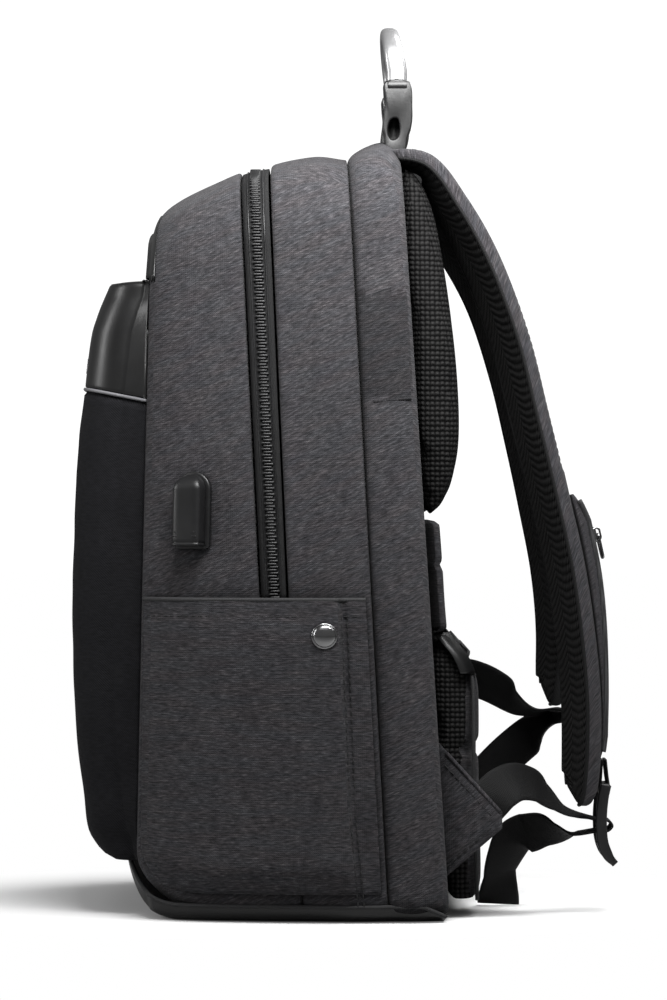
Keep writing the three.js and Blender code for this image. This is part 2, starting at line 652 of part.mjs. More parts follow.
// The zip lies in the mouth of the hidden pocket, level with the top of the pad
function lumbarZip() {
  const below = block(
    [-BODY_WIDTH, 0, LUMBAR_TOP - TAPE_THICKNESS], [BODY_WIDTH, BODY_DEPTH, LUMBAR_TOP]);
  return lumbarSpace(GAP).intersect(toSolid(below));
}

// Handle

// A solid along stations, each with a place, a width direction and an outward direction.
// sectionOf gives a station's outline as [across, outward] pairs.
function loftStations(list, sectionOf) {
  return toSolid(loftRings(list.map((station) => sectionOf(station).map(([across, outward]) => (
    station.place.clone().addScaledVector(station.wide, across).addScaledVector(station.out, outward))))));
}

// Stations along a smooth route. at counts rows of the route, with halves between them.
function stationsAlong(places, wideOf, from = 0, to = places.length - 1, perRow = 2) {
  const curve = new THREE.CatmullRomCurve3(places);
  const list = [];
  for (let step = from * perRow; step <= to * perRow; step += 1) {
    const at = step / perRow;
    const along = curve.getTangent(at / (places.length - 1));
    const wide = wideOf(at, along);
    wide.addScaledVector(along, -wide.dot(along)).normalize();
    const out = along.clone().cross(wide);
    list.push({ at, place: curve.getPoint(at / (places.length - 1)), along, wide, out });
  }
  return list;
}

// An oval outline. A squareness below 1 makes it squarer than an ellipse.
function ovalSection(width, thickness, squareness = 0.7, steps = 12) {
  const square = (value) => Math.sign(value) * Math.abs(value) ** squareness;
  return Array.from({ length: steps }, (_, i) => {
    const angle = 2 * Math.PI * (i + 0.5) / steps;
    return [square(Math.cos(angle)) * width / 2, square(Math.sin(angle)) * thickness / 2];
  });
}

function handleGrip() {
  const rise = HANDLE_TOP - GRIP_THICKNESS / 2 - GRIP_FOOT + GAP;
  const steps = 12;
  const places = Array.from({ length: steps + 1 }, (_, i) => {
    const angle = Math.PI * i / steps;
    const up = Math.sin(angle) ** GRIP_FULLNESS * rise;
    const x = -Math.cos(angle) * HANDLE_SPAN / 2;
    return new THREE.Vector3(x, TAB_Y - up * GRIP_LEAN, GRIP_FOOT - GAP + up);
  });
  const section = ovalSection(GRIP_DEPTH, GRIP_THICKNESS);
  const list = stationsAlong(places, () => new THREE.Vector3(0, 1, 0), 0, steps, 1);
  const above = block(
    [-BODY_WIDTH, -BODY_DEPTH, GRIP_FOOT + GAP], [BODY_WIDTH, BODY_DEPTH, 2 * BODY_HEIGHT]);
  return loftStations(list, () => section).intersect(toSolid(above));
}

// Outline of a folded tab: y as a share of the grip's depth, z as a share of the tab's height
const TAB_OUTLINE = [
  [-0.42, 0], [-0.62, 0.25], [-0.78, 0.42], [-0.55, 0.7], [-0.6, 1], [0.62, 1], [0.85, 0.62],
  [0.78, 0.38], [0.58, 0.25], [0.3, 0],
];
const TAB_HOLE = [[-0.42, 0.3], [-0.3, 0.52], [0.3, 0.5], [0.42, 0.3], [0.1, 0.18], [-0.15, 0.18]];

function handleTab(side) {
  const low = crownHeight(HANDLE_SPAN / 2) - TAB_SINK;
  const place = ([y, z]) => [TAB_Y + y * GRIP_DEPTH, low + z * (GRIP_FOOT - low)];
  const middle = side * HANDLE_SPAN / 2;
  const outer = sidePrism(TAB_OUTLINE.map(place).reverse(), middle - TAB_WIDTH / 2, middle + TAB_WIDTH / 2);
  const hole = sidePrism(TAB_HOLE.map(place), middle - TAB_WIDTH, middle + TAB_WIDTH);
  return toSolid(outer).subtract(toSolid(hole)).subtract(clearBody);
}

// Height of the body's top edge at a distance from its middle
function crownHeight(x) {
  const { width, top } = SECTIONS.laptopBack;
  const half = width * BODY_WIDTH / 2 * TOP_TAPER;
  const [shoulder, flat] = [half - TOP_CORNER, half * TOP_FLAT];
  const share = (Math.abs(x) - flat) / (shoulder - flat);
  return top * BODY_HEIGHT - TOP_ARCH * THREE.MathUtils.lerp(FLAT_FALL, 1, Math.max(share, 0));
}

// Shoulder straps

// Each row is a point on the strap's inner face along its right edge. x, y and z are shares of the
// body's width, depth and height, width and thick are shares of the strap's width and thickness.
const RIGHT_STRAP = [
  { x: 0.33, y: 0.4292, z: 0.974, width: 1.00, thick: 0.6 },
  { x: 0.34, y: 0.4818, z: 0.955, width: 1.00, thick: 0.9 },
  { x: 0.34, y: 0.5499, z: 0.902, width: 1.00, thick: 1.0 },
  { x: 0.345, y: 0.6394, z: 0.836, width: 1.00, thick: 1.0 },
  { x: 0.35, y: 0.7240, z: 0.738, width: 1.00, thick: 1.0 },
  { x: 0.355, y: 0.7814, z: 0.640, width: 0.98, thick: 1.0 },
  { x: 0.36, y: 0.8362, z: 0.535, width: 0.96, thick: 1.0 },
  { x: 0.365, y: 0.8852, z: 0.445, width: 0.93, thick: 1.0 },
  { x: 0.37, y: 0.9160, z: 0.355, width: 0.90, thick: 1.0 },
  { x: 0.37, y: 0.9323, z: 0.275, width: 0.86, thick: 1.0 },
  { x: 0.37, y: 0.9310, z: 0.205, width: 0.82, thick: 1.0 },
  { x: 0.365, y: 0.9235, z: 0.160, width: 0.76, thick: 0.9 },
  { x: 0.355, y: 0.9173, z: 0.140, width: 0.60, thick: 0.55 },
];
const LEFT_STRAP = [
  { x: -0.12, y: 0.4292, z: 0.974, width: 1.00, thick: 0.6 },
  { x: -0.12, y: 0.4818, z: 0.952, width: 1.00, thick: 0.9 },
  { x: -0.12, y: 0.5556, z: 0.880, width: 1.00, thick: 1.0 },
  { x: -0.125, y: 0.6557, z: 0.800, width: 1.00, thick: 1.0 },
  { x: -0.13, y: 0.7383, z: 0.703, width: 1.00, thick: 1.0 },
  { x: -0.135, y: 0.7934, z: 0.609, width: 0.98, thick: 1.0 },
  { x: -0.14, y: 0.8409, z: 0.515, width: 0.95, thick: 1.0 },
  { x: -0.15, y: 0.8760, z: 0.435, width: 0.91, thick: 1.0 },
  { x: -0.155, y: 0.8910, z: 0.360, width: 0.87, thick: 1.0 },
  { x: -0.16, y: 0.8860, z: 0.300, width: 0.82, thick: 1.0 },
  { x: -0.165, y: 0.8760, z: 0.268, width: 0.74, thick: 0.9 },
  { x: -0.175, y: 0.8684, z: 0.252, width: 0.58, thick: 0.55 },
];

const strapPlaces = (rows) => rows.map((row) => (
  new THREE.Vector3(row.x * BODY_WIDTH, row.y * BODY_DEPTH, row.z * BODY_HEIGHT)));
const strapWide = () => new THREE.Vector3(
  -Math.cos(radians(STRAP_TURN)), -Math.sin(radians(STRAP_TURN)), 0);
const strapStations = (rows, from, to) => stationsAlong(strapPlaces(rows), strapWide, from, to);

// The value of a column between two rows of a table
function between(rows, key, at) {
  const low = Math.min(Math.floor(at), rows.length - 2);
  return THREE.MathUtils.lerp(rows[low][key], rows[low + 1][key], at - low);
}

// Outline across a strap, or across what lies on it, from one height over the strap's inner face
// to another. from and to are shares of the strap's width, counted from its right edge.
function strapSection(width, low, high, from = 0, to = 1) {
  const [left, right] = [width * from, width * to];
  const round = Math.min((high - low) * STRAP_ROUND, (right - left) * STRAP_ROUND);
  return [
    [left + round, low], [right - round, low], [right, low + round], [right, high - round],
    [right - round, high], [left + round, high], [left, high - round], [left, low + round],
  ];
}

const strapWidthAt = (rows, at) => between(rows, 'width', at) * STRAP_WIDTH;
const strapHeightAt = (rows, at) => between(rows, 'thick', at) * STRAP_THICKNESS;

function strapPad(rows) {
  return loftStations(strapStations(rows), ({ at }) => (
    strapSection(strapWidthAt(rows, at), 0, strapHeightAt(rows, at))));
}

// The zip pocket lies on the right strap between two rows of its table, with tapered ends. inner is
// how many rows its inside and its zip end before those rows.
const STRAP_POCKET = { from: 6, to: 10, inner: 0.5, endHeight: 0.35, margin: 0.05 };

function strapPocketLayer(inset, low, from, to, tapered) {
  return loftStations(strapStations(RIGHT_STRAP, from, to), ({ at }) => {
    const atEnd = tapered && (at === from || at === to);
    const height = STRAP_POCKET_THICKNESS * (atEnd ? STRAP_POCKET.endHeight : 1) - inset;
    const base = strapHeightAt(RIGHT_STRAP, at) + GAP;
    const margin = STRAP_POCKET.margin + inset / STRAP_WIDTH;
    return strapSection(strapWidthAt(RIGHT_STRAP, at), base + low, base + height, margin, 1 - margin);
  });
}

function strapPocket() {
  const { from, to, inner } = STRAP_POCKET;
  const outer = strapPocketLayer(0, 0, from, to, true);
  return outer.subtract(strapPocketLayer(CLOTH, -PAST, from + inner, to - inner, false));
}

// The strap pocket's zip runs along its face, near its right edge
const STRAP_ZIP = { width: 8, edge: 5, thickness: 1.2 };

function strapZip() {
  const { from, to, inner } = STRAP_POCKET;
  return loftStations(strapStations(RIGHT_STRAP, from + inner, to - inner), ({ at }) => {
    const base = strapHeightAt(RIGHT_STRAP, at) + STRAP_POCKET_THICKNESS + 2 * GAP;
    const edge = strapWidthAt(RIGHT_STRAP, at) * STRAP_POCKET.margin + STRAP_ZIP.edge;
    return [
      [edge, base], [edge + STRAP_ZIP.width, base],
      [edge + STRAP_ZIP.width, base + STRAP_ZIP.thickness], [edge, base + STRAP_ZIP.thickness],
    ];
  });
}

// Slider and pull of the strap pocket, modelled flat: +X along the hinge, +Y up, +Z outward
const PULL = {
  sliderWidth: 6, sliderLength: 9, sliderHeight: 2, bridgeWidth: 1.4, bridgeLength: 8.4, wire: 1.2,
  bridgeRoom: 1.9, ringLength: 6, width: 6.4, barWidth: 1.7, length: 15, thickness: 1.2,
};
const PULL_AXIS_HEIGHT = PULL.sliderHeight + PULL.bridgeRoom / 2;

function sliderSolid() {
  const { sliderWidth, sliderLength, sliderHeight, bridgeWidth, bridgeLength, wire, bridgeRoom } = PULL;
  const top = sliderHeight + bridgeRoom + wire;
  const body = block(
    [-sliderWidth / 2, -sliderLength / 2, 0], [sliderWidth / 2, sliderLength / 2, sliderHeight]);
  const bridge = block([-bridgeWidth / 2, -bridgeLength / 2, sliderHeight / 2],
    [bridgeWidth / 2, bridgeLength / 2, top]);
  const room = block([-sliderWidth, -bridgeLength / 2 + wire, sliderHeight],
    [sliderWidth, bridgeLength / 2 - wire, top - wire]);
  return toSolid(body).add(toSolid(bridge)).subtract(toSolid(room));
}

function pullSolid() {
  const { width, barWidth, ringLength, length, thickness, wire } = PULL;
  const low = PULL_AXIS_HEIGHT - thickness / 2;
  const high = PULL_AXIS_HEIGHT + thickness / 2;
  const plate = block([-width / 2, -length, low], [width / 2, wire / 2, high]);
  const hole = block(
    [barWidth - width / 2, -ringLength, low - PAST], [width / 2 - barWidth, -wire / 2, high + PAST]);
  return toSolid(plate).subtract(toSolid(hole));
}

// Where the slider stands on the strap's zip
function sliderSeat() {
  const at = STRAP_POCKET.from + STRAP_POCKET.inner;
  const [station] = strapStations(RIGHT_STRAP, at, at);
  const height = strapHeightAt(RIGHT_STRAP, at) + STRAP_POCKET_THICKNESS + STRAP_ZIP.thickness + 3 * GAP;
  const edge = strapWidthAt(RIGHT_STRAP, at) * STRAP_POCKET.margin + STRAP_ZIP.edge + STRAP_ZIP.width / 2;
  const up = station.along.clone().negate();
  const place = station.place.clone().addScaledVector(station.wide, edge)
    .addScaledVector(station.out, height).addScaledVector(station.along, PULL.sliderLength / 2);
  const across = up.clone().cross(station.out);
  return new THREE.Matrix4().makeBasis(across, up, station.out).setPosition(place);
}

const onStrapZip = (solid) => toSolid(toGeometry(solid).applyMatrix4(sliderSeat()));

// Wings, webbing and buckles

// Corners of the right wing. Its long edge lies on the back, tipY is a share of the body's depth and
// the heights are shares of its height.
const WING = { top: 0.218, bottom: 0.052, tipY: 0.6707, tipBack: 2, tipHigh: 0.137, tipLow: 0.116 };

function wing(side) {
  const [top, bottom] = [WING.top * BODY_HEIGHT, WING.bottom * BODY_HEIGHT];
  const tip = WING.tipY * BODY_DEPTH;
  const corners = [
    [backPlane(bottom, 2 * GAP), bottom], [tip - WING.tipBack, WING.tipLow * BODY_HEIGHT],
    [tip, WING.tipHigh * BODY_HEIGHT], [backPlane(top, 2 * GAP), top],
  ];
  const near = sidePrism(corners, WING_X, WING_X + WING_THICKNESS);
  return side > 0 ? toSolid(near) : mirrored(toSolid(near));
}

// A buckle's profile seen from the side, from its top to its bottom, and the bars' places. y and z
// are counted from the middle bar as shares of the buckle's height.
const BUCKLE_HEIGHT = 47;
const BUCKLE_PROFILE = [
  [0.043, 0.521], [0.011, 0.372], [-0.011, 0.160], [-0.011, -0.053], [0.011, -0.223],
  [0.074, -0.372], [0.160, -0.468],
];
const BUCKLE_TOP_BAR = [0.032, 0.425];
const BUCKLE_LIP = 4;           // the lip joins the rails from this profile row down
const RIGHT_BUCKLE = { x: 0.283, y: 0.9973, z: 0.1146, strapRow: 10 };
const LEFT_BUCKLE = { x: -0.262, y: 0.9560, z: 0.2369, strapRow: 9 };

const bucklePlace = (buckle, [y, z] = [0, 0]) => new THREE.Vector3(buckle.x * BODY_WIDTH,
  buckle.y * BODY_DEPTH + y * BUCKLE_HEIGHT, buckle.z * BODY_HEIGHT + z * BUCKLE_HEIGHT);

function buckleSolid(buckle) {
  const profile = (rows) => {
    const middle = rows.map((row) => bucklePlace(buckle, row));
    const half = RAIL_THICKNESS / 2;
    const left = middle.map(({ y, z }) => [y - half, z]);
    const right = middle.map(({ y, z }) => [y + half, z]).reverse();
    return [...left, ...right];
  };
  const { x } = bucklePlace(buckle);
  const half = BUCKLE_WIDTH / 2;
  const rail = (low) => toSolid(sidePrism(profile(BUCKLE_PROFILE), low, low + RAIL_WIDTH));
  const lip = toSolid(sidePrism(profile(BUCKLE_PROFILE.slice(BUCKLE_LIP)), x - half, x + half));
  const bar = (row) => {
    const length = BUCKLE_WIDTH - RAIL_WIDTH;
    const cylinder = new THREE.CylinderGeometry(BUCKLE_BAR / 2, BUCKLE_BAR / 2, length, 10);
    const { y, z } = bucklePlace(buckle, row);
    return toSolid(cylinder.rotateZ(Math.PI / 2).translate(x, y, z));
  };
  return rail(x - half).add(rail(x + half - RAIL_WIDTH)).add(lip)
    .add(bar([0, 0])).add(bar(BUCKLE_TOP_BAR));
}

// Flat webbing along rows of x, y, z and turn. Turned by 90 degrees it shows its face to the side.
function webbingAlong(rows, perRow = 2) {
  const places = rows.map(([x, y, z]) => new THREE.Vector3(x, y, z));
  const wideOf = (at, along) => {
    const low = Math.min(Math.floor(at), rows.length - 2);
    const turn = radians(THREE.MathUtils.lerp(rows[low][3], rows[low + 1][3], at - low));
    const level = new THREE.Vector3(1, 0, 0).addScaledVector(along, -along.x).normalize();
    const upright = along.clone().cross(level);
    return level.multiplyScalar(Math.cos(turn)).addScaledVector(upright, Math.sin(turn));
  };
  const [w, t] = [WEB_WIDTH / 2, WEB_THICKNESS / 2];
  const section = [[-w, -t], [w, -t], [w, t], [-w, t]];
  return loftStations(stationsAlong(places, wideOf, 0, rows.length - 1, perRow), () => section);
}

// Free stretches of webbing: x, y and z as shares of the body's width, depth and height, and turn
const RIGHT_WEB = {
  wing: [
    [0.4045, 0.5906, 0.1330, 90], [0.4045, 0.6312, 0.1507, 90], [0.3967, 0.6667, 0.1648, 80],
    [0.3767, 0.7158, 0.1736, 60], [0.3500, 0.7758, 0.1692, 40], [0.3233, 0.8307, 0.1520, 20],
    [0.3033, 0.8852, 0.1350, 5], [0.2880, 0.9398, 0.1265, 0],
  ],
  tail: [
    [0.2767, 0.9135, 0.1030, 0], [0.2667, 0.8667, 0.1048, 25], [0.2467, 0.8141, 0.1070, 55],
    [0.2200, 0.7706, 0.1015, 80], [0.1933, 0.7268, 0.0917, 85], [0.1667, 0.7020, 0.0721, 85],
    [0.1433, 0.6803, 0.0437, 88], [0.1300, 0.6765, 0.0200, 90], [0.1233, 0.6765, 0.0030, 90],
  ],
};
const LEFT_WEB = {
  wing: [
    [-0.4045, 0.5684, 0.1048, 90], [-0.4045, 0.6119, 0.1223, 90], [-0.3933, 0.6667, 0.1485, 88],
    [-0.3733, 0.7323, 0.1769, 82], [-0.3467, 0.8034, 0.2031, 72], [-0.3000, 0.8584, 0.2205, 40],
    [-0.2660, 0.9110, 0.2290, 0],
  ],
  tail: [
    [-0.2650, 0.8960, 0.2460, 0], [-0.2800, 0.8384, 0.2440, 8], [-0.3100, 0.7758, 0.2530, 30],
    [-0.3367, 0.7268, 0.2664, 55], [-0.3667, 0.6557, 0.2806, 65], [-0.3967, 0.5901, 0.2860, 70],
    [-0.4200, 0.5731, 0.2760, 80], [-0.4300, 0.5656, 0.2500, 88],
  ],
};

// The route comes from the wing, turns round the buckle's middle bar and leaves as the free tail.
// side is 1 where it comes in over the bar and -1 where it comes in under it.
function webbing(route, buckle, side) {
  const share = ([x, y, z, turn]) => [x * BODY_WIDTH, y * BODY_DEPTH, z * BODY_HEIGHT, turn];
  const reach = BUCKLE_BAR / 2 + WEB_THICKNESS / 2 + 2 * GAP;
  const turns = [[0, 1], [1.25, 1], [2.1, 0], [1.25, -1], [0, -1]];
  const middle = bucklePlace(buckle);
  const round = turns.map(([back, up]) => (
    [middle.x, middle.y + back * reach, middle.z + up * side * reach, 0]));
  return webbingAlong([...route.wing.map(share), ...round, ...route.tail.map(share)]);
}

// Short folded webbing that hangs the buckle on the outer face of the strap's lower end
function buckleLoop(rows, buckle) {
  const at = buckle.strapRow;
  const [station] = strapStations(rows, at, at);
  const bar = bucklePlace(buckle, BUCKLE_TOP_BAR);
  const reach = BUCKLE_BAR / 2 + WEB_THICKNESS / 2 + GAP;
  const seat = station.place.clone().addScaledVector(station.out, strapHeightAt(rows, at));
  const start = seat.y + WEB_THICKNESS / 2 + 2 * GAP;
  const layer = WEB_THICKNESS + 2 * GAP;
  const half = (seat.z + bar.z) / 2;
  const turns = [[-1, 0.4], [-0.7, -0.7], [0, -1], [0.7, -0.7], [1, 0.4]];
  const points = [
    [start, seat.z], [(start + bar.y - reach) / 2, half],
    ...turns.map(([back, up]) => [bar.y + back * reach, bar.z + up * reach]),
    [(start + layer + bar.y + reach) / 2, half], [start + layer, seat.z],
  ];
  return webbingAlong(points.map(([y, z]) => [bar.x, y, z, 0]), 2);
}

// Assembly

const backpack = new THREE.Group();

function place(name, solid, look) {
  const mesh = new THREE.Mesh(toGeometry(solid), new THREE.MeshStandardMaterial(look));
  mesh.name = name;
  backpack.add(mesh);
}

place('main_front_shell', mainFrontShell(), MELANGE);
place('main_rear_shell', mainRearShell(), MELANGE);
place('laptop_shell', laptopShell(), MELANGE);
place('front_upper_panel', frontUpperPanel(), COATED);
place('front_pocket', frontPocket(), TWILL);
place('front_yoke', frontYoke(), COATED);
place('yoke_piping', yokePiping(), PIPING_CORD);
place('badge_plate', badgePlate(), METAL);
place('base_panel', basePanel(), TWILL);
place('main_zip_tape', mainZipTape(), ZIP_TAPE);
place('main_zip_coil', mainZipCoil(), ZIP_TAPE);
place('main_zip_slider', mainZipSlider(), METAL);
place('laptop_zip', laptopZip(), ZIP_TAPE);
place('side_pocket_right', sidePocket(1), MELANGE);
place('side_pocket_left', sidePocket(-1), MELANGE);
place('snap_right', snap(), METAL);
place('snap_left', mirrored(snap()), METAL);
place('usb_port', chargingPort(), PLASTIC);
place('upper_back_pad', upperBackPad(), MESH_CLOTH);
place('back_band', backBand(), MELANGE);
place('lumbar_pad', lumbarPad(), MESH_CLOTH);
place('lumbar_zip', lumbarZip(), ZIP_TAPE);
place('handle_grip', handleGrip(), PALE_GRIP);
place('handle_tab_right', handleTab(1), COATED);
place('handle_tab_left', handleTab(-1), COATED);
place('strap_pad_right', strapPad(RIGHT_STRAP), MESH_CLOTH);
place('strap_pad_left', strapPad(LEFT_STRAP), MESH_CLOTH);
place('strap_pocket', strapPocket(), MELANGE);
place('strap_zip', strapZip(), ZIP_TAPE);
place('strap_slider', onStrapZip(sliderSolid()), METAL);
place('strap_pull', onStrapZip(pullSolid()), METAL);
place('wing_right', wing(1), MELANGE);
place('wing_left', wing(-1), MELANGE);
place('buckle_right', buckleSolid(RIGHT_BUCKLE), PLASTIC);
place('buckle_left', buckleSolid(LEFT_BUCKLE), PLASTIC);
place('buckle_loop_right', buckleLoop(RIGHT_STRAP, RIGHT_BUCKLE), WEBBING);
place('buckle_loop_left', buckleLoop(LEFT_STRAP, LEFT_BUCKLE), WEBBING);
place('webbing_right', webbing(RIGHT_WEB, RIGHT_BUCKLE, 1), WEBBING);
place('webbing_left', webbing(LEFT_WEB, LEFT_BUCKLE, -1), WEBBING);

export default backpack;
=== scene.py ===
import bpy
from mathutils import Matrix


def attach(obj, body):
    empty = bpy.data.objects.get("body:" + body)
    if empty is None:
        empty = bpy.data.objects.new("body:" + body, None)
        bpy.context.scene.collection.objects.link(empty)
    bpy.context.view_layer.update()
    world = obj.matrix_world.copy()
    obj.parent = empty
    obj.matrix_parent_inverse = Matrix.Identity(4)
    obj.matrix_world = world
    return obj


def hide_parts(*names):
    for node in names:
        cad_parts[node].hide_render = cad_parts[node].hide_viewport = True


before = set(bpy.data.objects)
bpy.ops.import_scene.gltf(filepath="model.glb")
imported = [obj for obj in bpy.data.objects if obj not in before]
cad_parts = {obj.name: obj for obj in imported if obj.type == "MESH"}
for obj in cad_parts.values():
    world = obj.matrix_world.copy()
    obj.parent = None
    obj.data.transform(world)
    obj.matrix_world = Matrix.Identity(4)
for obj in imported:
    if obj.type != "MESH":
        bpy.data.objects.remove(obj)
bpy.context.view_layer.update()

import math

import bmesh
import bpy
import numpy as np
from mathutils import Matrix, Vector, noise

# A laptop backpack. Metres, +Z up, -Y the front with the pocket, +X the wearer's right.

MM = 0.001
BAG = "bag"

# Sizes of the cloth body, as the solids have them
BODY_HEIGHT = 458 * MM
BODY_WIDTH = 300 * MM
BODY_DEPTH = 183 * MM
FRONT_RISE = 33 * MM
SIDE_TOP = 190 * MM
TOP_TAPER = 0.93
TOP_ARCH = 9 * MM
TOP_CORNER = 46 * MM
BOTTOM_CORNER = 12 * MM
ZIP_END = 187 * MM
SEAM_ROLL = 3.2 * MM            # radius of the cloth where it rolls into a seam
ZIP_ROLL = 2 * MM
DEEP_ROLL = 9 * MM

# Sections from front to back: y and width as shares of depth and width, lean for each unit of
# height, rise as a share of the front rise and top as a share of the height. The tops follow the
# photograph and lie up to 13 mm above those of the solids.
SECTIONS = [
    ("frontEdge", -0.497, 0.021, 0.786, 1.00, 0.893),
    ("frontTurn", -0.456, 0.014, 0.823, 0.60, 0.911),
    ("frontFlank", -0.383, 0.006, 0.868, 0.24, 0.927),
    ("frontCheek", -0.279, 0.000, 0.918, 0.11, 0.945),
    ("zipFront", -0.049, -0.049, 0.964, 0.10, 0.966),
    ("zipRear", 0.040, -0.045, 0.974, 0.10, 0.975),
    ("rearBelly", 0.191, -0.047, 0.994, 0.10, 0.983),
    ("deepFront", 0.298, -0.053, 0.988, 0.10, 0.981),
    ("laptopFront", 0.314, -0.053, 0.982, 0.10, 0.984),
    ("laptopBelly", 0.380, -0.057, 0.988, 0.10, 0.995),
    ("laptopBack", 0.448, -0.061, 0.970, 0.10, 1.002),
    ("rearEdge", 0.503, -0.063, 0.933, 0.12, 0.995),
]
ROW = {row[0]: i for i, row in enumerate(SECTIONS)}
COLUMNS = np.array([row[1:] for row in SECTIONS])
BASE_Y = COLUMNS[:, 0] * BODY_DEPTH
LEAN = COLUMNS[:, 1]
HALF = COLUMNS[:, 2] * BODY_WIDTH / 2
BOTTOM = COLUMNS[:, 3] * FRONT_RISE
TOP = COLUMNS[:, 4] * BODY_HEIGHT


# Mesh helpers

def link(obj):
    bpy.context.scene.collection.objects.link(obj)
    return obj


def make_object(name, vertices, faces, uvs=None, smooth=True):
    """A mesh object. uvs has one pair of metres for each vertex."""
    mesh = bpy.data.meshes.new(name)
    mesh.from_pydata([tuple(v) for v in vertices], [], faces)
    if uvs is not None:
        layer = mesh.uv_layers.new(name="cloth")
        for loop in mesh.loops:
            layer.data[loop.index].uv = uvs[loop.vertex_index]
    mesh.validate()
    for polygon in mesh.polygons:
        polygon.use_smooth = smooth
    return link(bpy.data.objects.new(name, mesh))


def turn_outward(obj):
    work = bmesh.new()
    work.from_mesh(obj.data)
    bmesh.ops.recalc_face_normals(work, faces=work.faces)
    work.to_mesh(obj.data)
    work.free()
    return obj


def grid_faces(rows, columns, wrap):
    faces = []
    for r in range(rows - 1):
        for c in range(columns if wrap else columns - 1):
            d = (c + 1) % columns
            faces.append((r * columns + c, r * columns + d, (r + 1) * columns + d, (r + 1) * columns + c))
    return faces


def lengths_along(grid, axis):
    """Distances along the grid's rows or columns, from the first one."""
    steps = np.linalg.norm(np.diff(grid, axis=axis), axis=2)
    start = np.zeros_like(steps[:1] if axis == 0 else steps[:, :1])
    return np.concatenate([start, np.cumsum(steps, axis=axis)], axis=axis)


def ring_object(name, rings, cap_steps=3):
    """A closed form through rings of points, its ends closed by shrinking rings."""
    rings = np.asarray(rings, dtype=float)
    for end in (0, -1):
        edge = rings[end]
        middle = edge.mean(axis=0)
        shrunk = [middle + (edge - middle) * (1 - (k + 1) / (cap_steps + 1)) for k in range(cap_steps)]
        if end == 0:
            rings = np.concatenate([np.array(shrunk[::-1]), rings])
        else:
            rings = np.concatenate([rings, np.array(shrunk)])
    count, around = rings.shape[:2]
    looped = np.concatenate([rings, rings[:, :1]], axis=1)
    across = lengths_along(looped, 1)[:, :-1]
    depth = lengths_along(rings, 0)
    uvs = list(zip(across.ravel(), depth.ravel()))
    faces = grid_faces(count, around, True)
    vertices = list(rings.reshape(-1, 3))
    for base, ring, flip in ((0, rings[0], True), ((count - 1) * around, rings[-1], False)):
        vertices.append(ring.mean(axis=0))
        uvs.append(uvs[base])
        centre = len(vertices) - 1
        for i in range(around):
            j = (i + 1) % around
            faces.append((base + j, base + i, centre) if flip else (base + i, base + j, centre))
    return turn_outward(make_object(name, vertices, faces, uvs))


def grid_object(name, grid, thickness=0.0):
    """An open sheet from a grid of points, made solid if it has a thickness."""
    grid = np.asarray(grid, dtype=float)
    rows, columns = grid.shape[:2]
    uvs = list(zip(lengths_along(grid, 1).ravel(), lengths_along(grid, 0).ravel()))
    obj = make_object(name, grid.reshape(-1, 3), grid_faces(rows, columns, False), uvs)
    if thickness:
        modifier = obj.modifiers.new("thickness", "SOLIDIFY")
        modifier.thickness = thickness
        modifier.offset = 0
        apply_modifiers(obj)
    return obj


def cloth_uv(obj):
    """Lays the weave in metres: level threads on every side, threads front to back on the top."""
    mesh = obj.data
    layer = mesh.uv_layers.get("cloth") or mesh.uv_layers.new(name="cloth")
    for polygon in mesh.polygons:
        normal = [abs(value) for value in polygon.normal]
        first, second = {0: (1, 2), 1: (0, 2), 2: (1, 0)}[normal.index(max(normal))]
        for index in polygon.loop_indices:
            place = mesh.vertices[mesh.loops[index].vertex_index].co
            layer.data[index].uv = (place[first], place[second])
    return obj


def apply_modifiers(obj):
    bpy.context.view_layer.update()
    evaluated = obj.evaluated_get(bpy.context.evaluated_depsgraph_get())
    mesh = bpy.data.meshes.new_from_object(evaluated)
    obj.modifiers.clear()
    obj.data = mesh
    return obj


def joined(name, objects):
    """One object from several, with their materials and UVs kept."""
    bpy.ops.object.select_all(action="DESELECT")
    for obj in objects:
        obj.select_set(True)
    bpy.context.view_layer.objects.active = objects[0]
    bpy.ops.object.join()
    objects[0].name = name
    objects[0].data.name = name
    return objects[0]


def smooth_mix(value, low, high):
    share = np.clip((value - low) / (high - low), 0, 1)
    return share * share * (3 - 2 * share)


def wander(points, scale, seed):
    """Smooth noise from -1 to 1 at each point."""
    offset = Vector((seed * 7.31, seed * 3.17, seed * 5.77))
    flat = np.asarray(points).reshape(-1, 3)
    values = [noise.noise(Vector((p[0] * scale[0], p[1] * scale[1], p[2] * scale[2])) + offset) for p in flat]
    return np.array(values).reshape(np.asarray(points).shape[:-1])


def catmull(values, at):
    """A smooth curve through evenly numbered values."""
    values = np.asarray(values, dtype=float)
    at = np.asarray(at, dtype=float)
    low = np.clip(np.floor(at).astype(int), 0, len(values) - 2)
    t = (at - low).reshape(at.shape + (1,) * (values.ndim - 1))
    p1, p2 = values[low], values[low + 1]
    p0 = np.where((low > 0).reshape(t.shape), values[np.maximum(low - 1, 0)], 2 * p1 - p2)
    last = len(values) - 1
    p3 = np.where((low + 2 <= last).reshape(t.shape), values[np.minimum(low + 2, last)], 2 * p2 - p1)
    return 0.5 * (2 * p1 + (p2 - p0) * t + (2 * p0 - 5 * p1 + 4 * p2 - p3) * t ** 2
                  + (3 * p1 - p0 - 3 * p2 + p3) * t ** 3)


# Body skins

RING_STEPS = {"floor": 12, "bottom_arc": 7, "upright": 36, "taper": 46, "top_arc": 20, "top": 26}


